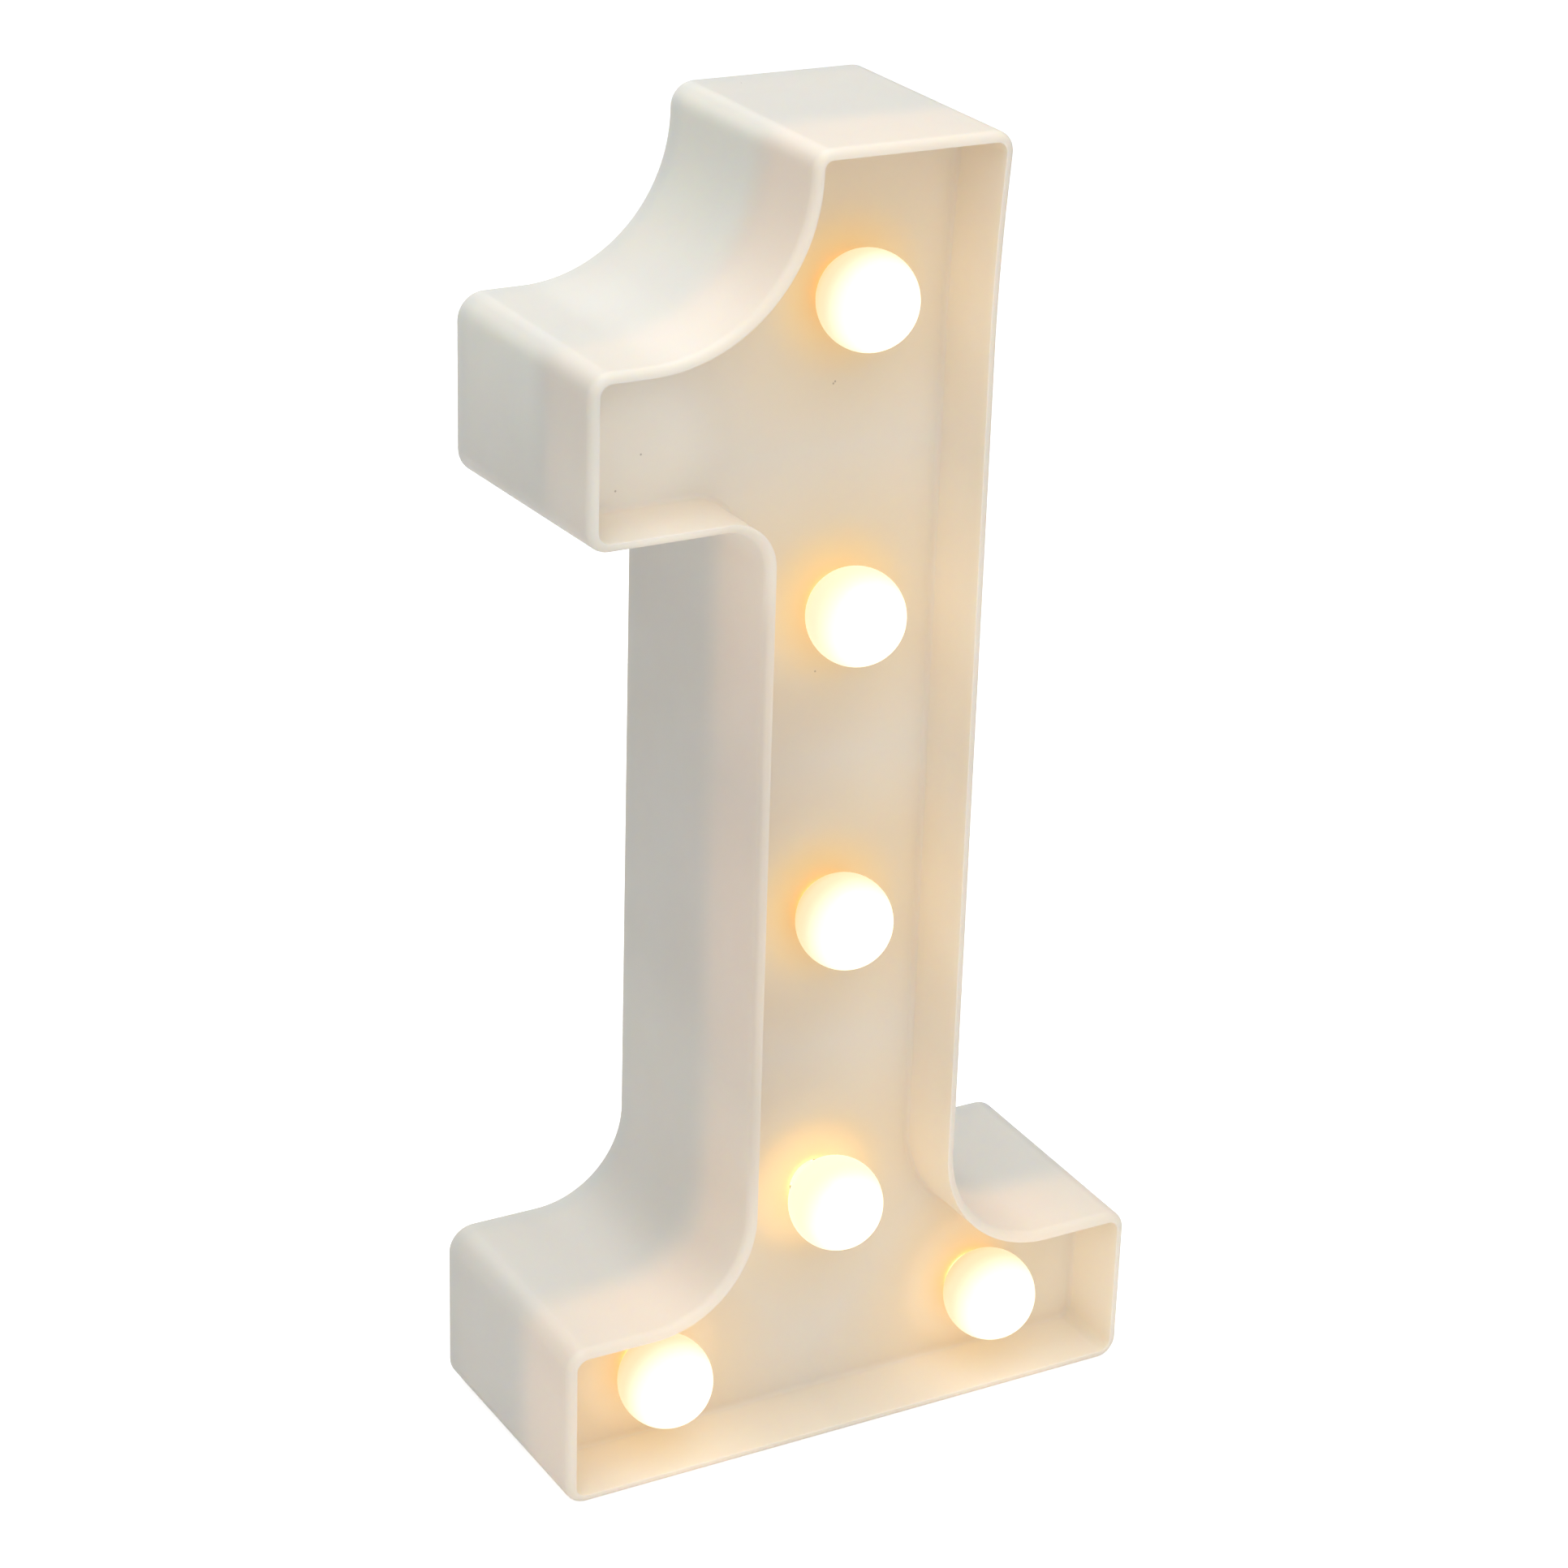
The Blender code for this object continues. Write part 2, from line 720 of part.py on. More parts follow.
def build_switch():
    """Slide switch: body with two ears, three pins, and the slider that runs in it."""
    x = stem_offset - switch_travel / 2
    z = switch_height
    front = cover_inner_y - gap
    half = switch_half_length()
    rise = shoe_height / 2 + gap + switch_wall
    body = add_part("switch_body", box_mesh("switch_body",
                    (x - half, front - switch_depth, z - rise), (x + half, front, z + rise)),
                    black_plastic)
    join(body, box_mesh("switch_ears",
                        (x - half - ear_length, front - ear_thickness, z - rise),
                        (x + half + ear_length, front - bite / 2, z + rise)))
    cut(body, box_mesh("shoe_track",
                       (x - half + switch_wall, front - shoe_thickness - 2 * gap,
                        z - rise + switch_wall),
                       (x + half - switch_wall, front + overrun, z + rise - switch_wall)))
    for i, side in enumerate((-1, 1), 1):
        cut(body, rod_mesh(f"ear_hole_{i}", x + side * ear_centre(), z,
                           front - ear_thickness - overrun, front + overrun,
                           ear_post_radius + gap, sides=sides_small))

    home = Vector((x + switch_travel / 2, front, z))
    knob_half = knob_length / 2
    slider = add_part("switch_slider", box_mesh("switch_slider",
                      (-shoe_length / 2, -shoe_thickness - gap, -shoe_height / 2),
                      (shoe_length / 2, -gap, shoe_height / 2)), black_plastic)
    slider.location = home
    knob = box_mesh("knob", (-knob_half, -gap - bite, -knob_height / 2),
                    (knob_half, back_y - knob_below - front, knob_height / 2))
    knob_tool = add_tool("knob", knob)
    knob_tool.location = home
    combine(slider, knob_tool, "UNION")
    for i in range(3):
        valley = box_mesh(f"knob_valley_{i + 1}",
                          (-groove_depth / 2, 0, -knob_height), (groove_depth / 2,
                          groove_depth + overrun, knob_height))
        valley_tool = add_tool(valley.name, valley)
        valley_tool.location = home + Vector((
            (i - 1) * knob_length / 3, back_y - knob_below - groove_depth - front, 0))
        combine(slider, valley_tool, "DIFFERENCE")

    for i in range(3):
        pin_x = x + (i - 1) * pin_pitch
        add_part(f"switch_pin_{i + 1}", box_mesh(f"switch_pin_{i + 1}",
                 (pin_x - pin_side / 2, front - switch_depth - gap - pin_length,
                  z - pin_side / 2),
                 (pin_x + pin_side / 2, front - switch_depth - gap, z + pin_side / 2)), brass)


def build_battery_door():
    """Door with two hinge tabs at its lower edge, a latch tongue and finger grooves."""
    half_width = door_width / 2
    half = door_thickness / 2
    outline = [(half * math.cos(a), half * math.sin(a))
               for a in (math.radians(-30 * i) for i in range(7))]
    outline += [(-half, door_length), (half - cover_edge_break, door_length),
                (half, door_length - cover_edge_break)]
    door = add_part("battery_door",
                    slab_mesh("battery_door", outline, -half_width, half_width),
                    shell_plastic)
    hinge = Vector((stem_offset, hinge_y, hinge_z))
    door.location = hinge

    tab_outer = half - lip_thickness - gap
    tab_inner = tab_outer - tab_thickness
    tab = [(bite - half, tab_riser_high), (tab_inner, tab_riser_high),
           (tab_inner, -tab_reach), (tab_outer, -tab_reach),
           (tab_outer, -tab_riser_low), (bite - half, -tab_riser_low)]
    for side, shift in (("left", -tab_spread / 2), ("right", tab_spread / 2)):
        mesh = slab_mesh(f"hinge_tab_{side}", tab, shift - tab_width / 2,
                         shift + tab_width / 2)
        tool = add_tool(mesh.name, mesh)
        tool.location = hinge
        combine(door, tool, "UNION")

    top = door_length - latch_setback
    inner = -half - latch_depth
    tongue = [(bite - half, top), (inner + ridge_height, top),
              (inner + ridge_height / 2, top + latch_ridge), (inner, top),
              (inner, top - latch_thickness), (bite - half, top - latch_thickness)]
    tongue_mesh = slab_mesh("latch_tongue", tongue, -latch_width / 2, latch_width / 2)
    tongue_tool = add_tool("latch_tongue", tongue_mesh)
    tongue_tool.location = hinge
    combine(door, tongue_tool, "UNION")

    for i in range(groove_count):
        z = door_length - (i + 2) * groove_pitch
        groove = box_mesh(f"door_groove_{i + 1}",
                          (-groove_width / 2, half - groove_depth, z - groove_pitch / 4),
                          (groove_width / 2, half + overrun, z + groove_pitch / 4))
        groove_tool = add_tool(groove.name, groove)
        groove_tool.location = hinge
        combine(door, groove_tool, "DIFFERENCE")


def build_cells():
    """Two round cells, one each way up."""
    tall = cell_length
    profile = [
        (0, tall + cell_nub_height),
        (cell_nub_radius, tall + cell_nub_height),
        (cell_nub_radius, tall),
        (cell_radius - cell_end_break, tall),
        (cell_radius, tall - cell_end_break),
        (cell_radius, cell_end_break),
        (cell_radius - cell_end_break, 0),
        (0, 0),
    ]
    low = well_low + spring_stack
    high = well_high - spring_stack
    left = Matrix.Translation((stem_offset - cell_pitch / 2, cell_y, low))
    right = Matrix.Translation((stem_offset + cell_pitch / 2, cell_y, high))
    turned("battery_1", profile, cell_sleeve, sides_cut, left)
    turned("battery_2", profile, cell_sleeve, sides_cut,
           right @ Matrix.Rotation(math.radians(180), 4, "X"))


def spring_points(turns, height):
    """Points along a conical spring, from its wide end up."""
    count = turns * 10
    points = []
    for i in range(count + 1):
        share = i / count
        radius = spring_wide + (spring_narrow - spring_wide) * share
        angle = math.radians(360) * turns * share
        points.append(Vector((radius * math.cos(angle), radius * math.sin(angle),
                              spring_wire + share * (height - 2 * spring_wire))))
    return points


def least_gap(points, radius, skip=6):
    """Least gap between the turns of a tube."""
    pairs = ((a - b).length for i, a in enumerate(points) for b in points[i + skip:])
    return min(pairs) - 2 * radius


def tube(name, points, radius, material, resolution, place=None):
    """A round wire through the given points."""
    curve = bpy.data.curves.new(name, "CURVE")
    curve.dimensions = "3D"
    curve.bevel_depth = radius
    curve.bevel_resolution = resolution
    curve.use_fill_caps = True
    spline = curve.splines.new("POLY")
    spline.points.add(len(points) - 1)
    for point, target in zip(spline.points, points):
        point.co = (*target, 1.0)
    wire = bpy.data.objects.new(name, curve)
    parts.objects.link(wire)
    curve.materials.append(material)
    if place is not None:
        wire.matrix_world = place
    return wire


def build_contacts():
    """Plated contacts at the two ends of the well, with their springs."""
    x = stem_offset
    deep = contact_depth / 2
    wide = contact_width / 2
    tail = contact_tail_width / 2
    half = contact_thickness / 2
    low = well_low + gap
    high = well_high - gap
    pitch = cell_pitch / 2
    add_part("contact_bridge", box_mesh("contact_bridge",
             (x - pitch - wide, cell_y - deep, low),
             (x + pitch + wide, cell_y + deep, low + contact_thickness)), plated_steel)
    for name, side in (("contact_positive", -1), ("contact_negative", 1)):
        centre = x + side * pitch
        plate = add_part(name, box_mesh(name,
                         (centre - wide, cell_y - deep, high - contact_thickness),
                         (centre + wide, cell_y + deep, high)), plated_steel)
        join(plate, box_mesh(f"{name}_tail", (centre - tail, cell_y - half, high - half),
                             (centre + tail, cell_y + half,
                              well_high + well_wall + contact_tail_length)))
    points = spring_points(spring_turns, spring_height)
    print("least gap between spring turns", round(least_gap(points, spring_wire), 6))
    lower = Matrix.Translation((x - pitch, cell_y, low + contact_thickness + gap))
    upper = Matrix.Translation((x + pitch, cell_y, high - contact_thickness - gap))
    tube("spring_lower", points, spring_wire, plated_steel, 1, lower)
    tube("spring_upper", points, spring_wire, plated_steel, 1,
         upper @ Matrix.Rotation(math.radians(180), 4, "X"))


def smooth_route(route, samples):
    """Points on a smooth curve through the stops of a route."""
    stops = [Vector(stop) for stop in route]
    ends = [2 * stops[0] - stops[1]] + stops + [2 * stops[-1] - stops[-2]]
    points = []
    for i in range(1, len(ends) - 2):
        a, b, c, d = ends[i - 1:i + 3]
        for step in range(samples):
            t = step / samples
            points.append((2 * b + (c - a) * t + (2 * a - 5 * b + 4 * c - d) * t * t
                           + (3 * b - a - 3 * c + d) * t * t * t) / 2)
    points.append(stops[-1])
    return points


def board_place():
    """Middle of the circuit board's face towards the cover."""
    return Vector((stem_offset + board_shift, cover_inner_y - board_post_length - gap,
                   board_height))


def build_board():
    """Circuit board on two posts of the cover, with the resistor for the diodes."""
    face = board_place()
    low = face - Vector((board_width / 2, board_thickness, board_tall / 2))
    high = face + Vector((board_width / 2, 0, board_tall / 2))
    add_part("circuit_board", box_mesh("circuit_board", low, high), board_resin)
    half = resistor_length / 2
    neck = resistor_radius * resistor_neck_share
    shoulder = half - resistor_radius
    profile = [(0, half), (neck, half), (resistor_radius, half - gap),
               (resistor_radius, shoulder), (neck, shoulder - gap), (neck, gap - shoulder),
               (resistor_radius, -shoulder), (resistor_radius, gap - half),
               (neck, -half), (0, -half)]
    centre = face - Vector((0, board_thickness + gap + resistor_radius, 0))
    turned("resistor", profile, resistor_body, sides_small,
           Matrix.Translation(centre) @ Matrix.Rotation(math.radians(90), 4, "Y"))


def build_leads():
    """Red and black leads between the cells, the switch, the board and the diodes."""
    places = lamp_places()
    reach = leg_pitch / 2 + leg_side / 2 + gap + lead_radius
    run_y = floor_back_y + neck_tail + gap + lead_radius
    top_z = places[0][1] + lead_tail
    upper_z = base_lamp_height + reach
    lower_z = base_lamp_height - reach
    left_x = places[4][0] - lead_tail
    right_x = places[5][0] + lead_tail
    x = stem_offset
    clear = 2 * lead_radius + gap

    for name, z, material in (("base_lead_positive", upper_z, red_lead),
                              ("base_lead_negative", lower_z, black_lead)):
        tube(name, [Vector((left_x, run_y, z)), Vector((right_x, run_y, z))],
             lead_radius, material, lead_sides)
    tube("stem_lead_positive",
         [Vector((x - reach, run_y, top_z)), Vector((x - reach, run_y, upper_z + clear))],
         lead_radius, red_lead, lead_sides)
    over = run_y + clear + lead_radius
    climb = upper_z + lead_hump + clear
    crossing = smooth_route([
        (x + reach, run_y, climb + 2 * lead_hump), (x + reach, run_y, climb + lead_hump),
        (x + reach, over, upper_z + clear / 2), (x + reach, over, upper_z - clear / 2),
        (x + reach, run_y, lower_z + clear)], lead_samples)
    tube("stem_lead_negative", [Vector((x + reach, run_y, top_z))] + crossing,
         lead_radius, black_lead, lead_sides)

    pin_y = cover_inner_y - 2 * gap - switch_depth - pin_length
    switch_x = x - switch_travel / 2
    tail_z = well_high + well_wall + contact_tail_length + gap
    board = board_place()
    back_of_board = board.y - board_thickness - gap - lead_radius
    lower_edge = board.z - board_tall / 2
    left_cell = x - cell_pitch / 2
    right_cell = x + cell_pitch / 2
    pin_left = switch_x - pin_pitch
    pin_gap = pin_y - gap - lead_radius
    tube("battery_lead_positive", smooth_route([
        (left_cell, cell_y, tail_z), (left_cell, cell_y, tail_z + lead_tail),
        (pin_left - lead_tail / 2, (cell_y + pin_gap) / 2, switch_height - lead_tail),
        (pin_left, pin_gap, switch_height)], lead_samples), lead_radius, red_lead, lead_sides)
    tube("switch_lead", smooth_route([
        (switch_x, pin_gap, switch_height),
        (switch_x - lead_tail, pin_gap, switch_height + 2 * lead_tail),
        (board.x + board_width / 4, back_of_board, lower_edge - lead_tail),
        (board.x + board_width / 4, back_of_board, lower_edge + lead_tail / 2)],
        lead_samples), lead_radius, red_lead, lead_sides)
    tube("battery_lead_negative", smooth_route([
        (right_cell, cell_y, tail_z), (right_cell, cell_y, tail_z + lead_tail),
        (right_cell, cell_y, switch_height + lead_tail),
        (x + lead_tail / 2, (cell_y + back_of_board) / 2, (switch_height + lower_edge) / 2),
        (x, back_of_board, lower_edge - lead_tail),
        (board.x + board_width / 2 - lead_tail / 2, back_of_board,
         lower_edge + lead_tail / 2)],
        lead_samples), lead_radius, black_lead, lead_sides)
    joint_y = run_y + clear
    for name, side, stop, material in (
            ("feed_lead_positive", -1, -board_width / 4, red_lead),
            ("feed_lead_negative", 1, 0, black_lead)):
        lead_x = x + side * reach
        start_x = board.x + stop
        rise = board.z + board_tall / 2 + lead_tail / 2
        tube(name, smooth_route([
            (start_x, back_of_board, board.z + board_tall / 2 - lead_tail / 2),
            (start_x, back_of_board, rise),
            ((start_x + lead_x) / 2, (joint_y + back_of_board) / 2, rise + side * lead_tail / 4),
            (lead_x, joint_y, rise - lead_tail),
            (lead_x, joint_y, rise - 2 * lead_tail)], lead_samples),
            lead_radius, material, lead_sides)


clear_scene()
parts = make_collection("marquee_number_one")
tools = make_collection("cutters")
shell_plastic = make_material("shell_plastic", (0.90, 0.87, 0.81), 0.38)
globe_plastic = make_material("globe_plastic", (1.00, 0.90, 0.70), 0.30, glow=4.0)
diode_resin = make_material("diode_resin", (0.95, 0.85, 0.55), 0.15)
black_plastic = make_material("black_plastic", (0.03, 0.03, 0.03), 0.45)
zinc = make_material("zinc", (0.72, 0.72, 0.70), 0.30, metallic=1.0)
plated_steel = make_material("plated_steel", (0.78, 0.77, 0.74), 0.25, metallic=1.0)
brass = make_material("brass", (0.80, 0.62, 0.30), 0.30, metallic=1.0)
cell_sleeve = make_material("cell_sleeve", (0.10, 0.11, 0.13), 0.35)
board_resin = make_material("board_resin", (0.10, 0.30, 0.14), 0.45)
resistor_body = make_material("resistor_body", (0.75, 0.63, 0.42), 0.40)
red_lead = make_material("red_lead", (0.60, 0.04, 0.03), 0.45)
black_lead = make_material("black_lead", (0.03, 0.03, 0.03), 0.45)

build_front_shell()
build_lamps()
build_back_cover()
build_screws()
build_switch()
build_cells()
build_contacts()
build_battery_door()
build_board()
build_leads()
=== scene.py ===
import json
import math

import bmesh
import bpy
from mathutils import Matrix, Vector

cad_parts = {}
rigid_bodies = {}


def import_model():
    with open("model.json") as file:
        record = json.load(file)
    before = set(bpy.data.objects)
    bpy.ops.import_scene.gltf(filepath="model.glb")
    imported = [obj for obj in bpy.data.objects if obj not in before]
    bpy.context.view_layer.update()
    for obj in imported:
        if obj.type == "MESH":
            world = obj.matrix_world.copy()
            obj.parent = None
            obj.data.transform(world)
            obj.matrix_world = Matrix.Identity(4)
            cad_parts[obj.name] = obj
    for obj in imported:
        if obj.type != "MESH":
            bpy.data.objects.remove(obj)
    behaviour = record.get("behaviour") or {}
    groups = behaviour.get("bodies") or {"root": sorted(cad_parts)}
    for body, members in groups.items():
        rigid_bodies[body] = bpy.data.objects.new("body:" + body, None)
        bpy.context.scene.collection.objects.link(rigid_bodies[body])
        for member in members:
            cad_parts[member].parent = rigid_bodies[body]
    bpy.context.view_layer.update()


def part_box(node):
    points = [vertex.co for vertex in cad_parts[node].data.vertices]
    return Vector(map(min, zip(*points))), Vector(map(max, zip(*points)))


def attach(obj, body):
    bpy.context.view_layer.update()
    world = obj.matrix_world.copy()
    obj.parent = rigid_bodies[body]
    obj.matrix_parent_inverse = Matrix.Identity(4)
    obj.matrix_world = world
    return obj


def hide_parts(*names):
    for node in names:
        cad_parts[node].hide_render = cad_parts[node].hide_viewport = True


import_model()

# Front shell. A deep tray in the shape of the digit, injection moulded in off-white ABS
# in one shot: drafted walls with a soft rim, the floor that carries the lamps, and on
# the back of that floor the lamp sockets and the bosses for the cover screws.
digit_height = 0.2205
base_width, base_height = 0.1066, 0.0288
stem_x, stem_width = -0.0015, 0.0391
flag_reach, flag_drop, flag_thickness = 0.0300, 0.0293, 0.0276
head_width, head_flare, flare_bend, flare_run = 0.0346, 0.0016, 0.19845, 0.0110
corner, head_corner, armpit = 0.0036, 0.0030, 0.0065
flag_arc, left_foot_arc, right_foot_arc = 0.0261, 0.0169, 0.0190
wall, wall_draft, rim_round, rim_inner_round = 0.0016, 0.0008, 0.00145, 0.00010
recess_depth, floor_thickness, floor_fillet = 0.0133, 0.0018, 0.0010
rear_wall, rebate_wall, rebate_depth, rear_break = 0.0017, 0.0009, 0.0023, 0.0002
socket_bore, socket_wall, socket_height = 0.0045, 0.0012, 0.0018
boss_radius, pilot_radius, pilot_depth = 0.0034, 0.0015, 0.0108
near = 0.00002

rim_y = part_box("front_shell")[0].y
back_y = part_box("front_shell")[1].y
floor_y = rim_y + recess_depth
stem_left, stem_right = stem_x - stem_width / 2, stem_x + stem_width / 2
base_left, base_right = -base_width / 2, base_width / 2
flag_left = stem_left - flag_reach
flag_top = digit_height - flag_drop
flag_underside = flag_top - flag_thickness
head_right = stem_right + head_flare
head_left = head_right - head_width


def middle_of(node):
    """Middle of a CAD node's box."""
    low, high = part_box(node)
    return (low + high) / 2


lamp_places = [middle_of(f"bulb_{i}") for i in range(1, 7)]
screw_places = [middle_of(f"cover_screw_{i}") for i in range(1, 7)]


def pick(kind, test):
    """Select the vertices, edges or faces all of whose points pass a test."""
    bpy.ops.mesh.select_mode(type=kind)
    bpy.ops.mesh.select_all(action="DESELECT")
    edited = bmesh.from_edit_mesh(bpy.context.object.data)
    if kind == "VERT":
        for point in edited.verts:
            point.select_set(test(point.co))
    else:
        for item in edited.edges if kind == "EDGE" else edited.faces:
            item.select_set(all(test(point.co) for point in item.verts))
    edited.select_flush_mode()
    bmesh.update_edit_mesh(bpy.context.object.data)


def at(value, target):
    return abs(value - target) < near


def begin(name):
    """Name the new primitive, set its place in its mesh and open it for editing."""
    piece = bpy.context.object
    piece.name = piece.data.name = name
    bpy.ops.object.transform_apply()
    bpy.ops.object.mode_set(mode="EDIT")
    return piece


def slide(x, y, z):
    bpy.ops.transform.translate(value=(x, y, z))


def stop_editing():
    bpy.ops.object.mode_set(mode="OBJECT")


def pick_all():
    bpy.ops.mesh.select_all(action="SELECT")


def turn_outward():
    """Select the whole mesh and turn its faces outward."""
    pick_all()
    bpy.ops.mesh.normals_make_consistent(inside=False)


def throw_away(piece):
    bpy.data.objects.remove(piece, do_unlink=True)


def draw_out(x, y, z):
    """Extrude the picked edges by a step."""
    bpy.ops.mesh.extrude_edges_move(TRANSFORM_OT_translate={"value": (x, y, z)})


def push_in(y):
    """Extrude the picked face along the depth."""
    bpy.ops.mesh.extrude_region_move(TRANSFORM_OT_translate={"value": (0, y, 0)})


def inset(thickness):
    bpy.ops.mesh.inset(thickness=thickness, use_even_offset=True)


def round_edges(width, segments):
    bpy.ops.mesh.bevel(offset=width, segments=segments, affect="EDGES", profile=0.5)


def round_outline(depth, width, segments):
    """Round the outline of the flat face that lies at a depth."""
    pick("FACE", lambda p: at(p.y, depth))
    bpy.ops.mesh.region_to_loop()
    round_edges(width, segments)


def alone(piece):
    """Make one object the only one selected."""
    if bpy.context.object and bpy.context.object.mode != "OBJECT":
        stop_editing()
    bpy.ops.object.select_all(action="DESELECT")
    piece.select_set(True)
    bpy.context.view_layer.objects.active = piece


def rods(name, places, radius, start, end, sides=48, end_radius=None):
    """Round rods or cones along the depth at the given places, as one object."""
    made = []
    for place in places:
        bpy.ops.mesh.primitive_cone_add(
            vertices=sides, radius1=end_radius or radius, radius2=radius, depth=end - start,
            location=(place.x, (start + end) / 2, place.z), rotation=(math.radians(90), 0, 0))
        made.append(bpy.context.object)
    for rod in made:
        rod.select_set(True)
    bpy.context.view_layer.objects.active = made[0]
    bpy.ops.object.join()
    bpy.ops.object.transform_apply()
    made[0].name = name
    return made[0]


def modify(piece, kind, **settings):
    """Add a modifier to a piece and apply it."""
    alone(piece)
    step = piece.modifiers.new("step", kind)
    for name, value in settings.items():
        setattr(step, name, value)
    bpy.ops.object.modifier_apply(modifier=step.name)


def shape_with(piece, tool, operation):
    """Change a piece by a tool, and throw the tool away."""
    modify(piece, "BOOLEAN", operation=operation, solver="EXACT", object=tool)
    throw_away(tool)


def join(piece, tool):
    shape_with(piece, tool, "UNION")


def cut(piece, tool):
    shape_with(piece, tool, "DIFFERENCE")


def smooth_faces(piece, angle=32):
    """Shade round forms smooth while flat faces stay flat."""
    alone(piece)
    bpy.ops.object.shade_smooth_by_angle(angle=math.radians(angle))
    modify(piece, "WEIGHTED_NORMAL", keep_sharp=True, weight=100)


def hand_over(piece, body, slot, material, *nodes):
    """Give a finished piece its material, and put it on its body for its CAD nodes."""
    piece.data.materials.clear()
    piece.data.materials.append(material)
    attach(piece, body)
    if nodes:
        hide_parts(*nodes)


def digit_block(name):
    """Solid block in the drafted outline of the digit, left open for editing."""
    bpy.ops.mesh.primitive_plane_add(size=1, rotation=(math.radians(90), 0, 0))
    block = begin(name)
    bpy.ops.transform.resize(value=(stem_width, 1, base_height))
    slide(stem_x, rim_y, base_height / 2)
    pick("EDGE", lambda p: at(p.x, stem_left))
    draw_out(base_left - stem_left, 0, 0)
    pick("EDGE", lambda p: at(p.x, stem_right))
    draw_out(base_right - stem_right, 0, 0)
    pick("EDGE", lambda p: at(p.z, base_height) and stem_left - near < p.x < stem_right + near)
    draw_out(0, 0, flag_underside - base_height)
    draw_out(0, 0, flag_thickness)
    pick("EDGE", lambda p: at(p.x, stem_left) and p.z > flag_underside - near)
    draw_out(-flag_reach, 0, 0)
    pick("FACE", lambda p: p.z > flag_underside - near)
    bpy.ops.mesh.bisect(plane_co=(head_left, 0, 0), plane_no=(1, 0, 0))
    pick("EDGE", lambda p: at(p.z, flag_top) and p.x > head_left - near)
    draw_out(0, 0, flag_drop)
    pick("FACE", lambda p: p.z > flag_top - near)
    bpy.ops.mesh.bisect(plane_co=(0, 0, flare_bend), plane_no=(0, 0, 1))
    pick("VERT", lambda p: at(p.x, stem_right) and at(p.z, digit_height))
    slide(head_flare, 0, 0)
    bpy.ops.mesh.select_mode(type="FACE")
    pick_all()
    bpy.ops.mesh.dissolve_faces()
    pick("VERT", lambda p: (at(p.z, 0) and base_left + near < p.x < base_right - near)
         or (at(p.x, stem_right) and base_height + near < p.z < flag_top + near)
         or (at(p.x, stem_left) and at(p.z, flag_top))
         or (at(p.x, head_left) and at(p.z, flare_bend)))
    bpy.ops.mesh.dissolve_verts()

    for x, z, run, segments in (
            (base_left, 0, corner, 10), (base_right, 0, corner, 10),
            (base_right, base_height, corner, 10), (stem_right, base_height, right_foot_arc, 24),
            (stem_right, flare_bend, flare_run, 8), (head_right, digit_height, corner, 10),
            (head_left, digit_height, head_corner, 10), (head_left, flag_top, flag_arc, 36),
            (flag_left, flag_top, corner, 10), (flag_left, flag_underside, corner, 10),
            (stem_left, flag_underside, armpit, 12), (stem_left, base_height, left_foot_arc, 24),
            (base_left, base_height, corner, 10)):
        pick("VERT", lambda p: at(p.x, x) and at(p.z, z))
        bpy.ops.mesh.bevel(offset=run, segments=segments, affect="VERTICES", profile=0.5)

    bpy.ops.mesh.select_mode(type="FACE")
    pick_all()
    push_in(back_y - rim_y)
    turn_outward()
    pick("FACE", lambda p: at(p.y, back_y))
    bpy.ops.mesh.delete(type="ONLY_FACE")
    pick("VERT", lambda p: at(p.y, back_y))
    bpy.ops.transform.shrink_fatten(value=wall_draft, use_even_offset=True)
    pick("VERT", lambda p: at(p.y, back_y) and p.z < corner)
    slide(0, 0, wall_draft)
    pick("EDGE", lambda p: at(p.y, back_y))
    bpy.ops.mesh.edge_face_add()
    return block


tray = digit_block("tray_moulding")
round_outline(back_y, rear_break, 2)
pick("FACE", lambda p: at(p.y, back_y))
inset(rebate_wall - rear_break)
push_in(-rebate_depth)
inset(rear_wall - rebate_wall)
push_in(floor_y + floor_thickness - back_y + rebate_depth)

round_outline(rim_y, rim_round, 8)
pick("FACE", lambda p: at(p.y, rim_y))
inset(wall - rim_round)
push_in(recess_depth)
bpy.ops.mesh.select_more()
bpy.ops.mesh.region_to_loop()
round_edges(rim_inner_round, 2)
round_outline(floor_y, floor_fillet, 5)
stop_editing()

floor_back = floor_y + floor_thickness
rooted = floor_back - floor_thickness / 3
join(tray, rods("sockets", lamp_places, socket_bore + socket_wall, rooted,
                floor_back + socket_height))
join(tray, rods("bosses", screw_places, boss_radius, rooted, back_y - rebate_depth))
cut(tray, rods("bores", lamp_places, socket_bore, floor_y - floor_thickness,
               floor_back + 2 * socket_height))
cut(tray, rods("pilots", screw_places, pilot_radius, back_y - pilot_depth, back_y, 24))
smooth_faces(tray)


def put(tree, socket, value):
    """Feed a socket from another one, or give it a fixed value."""
    if hasattr(value, "links"):
        tree.links.new(value, socket)
    else:
        socket.default_value = (*value, 1) if socket.type == "RGBA" else value


def feed(tree, made, **values):
    """Feed sockets of a node by name."""
    for name, value in values.items():
        put(tree, made.inputs[name.replace("_", " ")], value)


def node(tree, kind, **values):
    """Add a node and feed its sockets by name; a name with p_ sets a property."""
    made = tree.nodes.new(kind)
    for name, value in values.items():
        if name.startswith("p_"):
            setattr(made, name[2:], value)
        else:
            feed(tree, made, **{name: value})
    return made


def object_place(tree):
    return tree.nodes.new("ShaderNodeTexCoord").outputs["Object"]


def split(tree, vector):
    return node(tree, "ShaderNodeSeparateXYZ", Vector=vector).outputs


def noise(tree, place, **values):
    return node(tree, "ShaderNodeTexNoise", Vector=place, **values).outputs["Fac"]


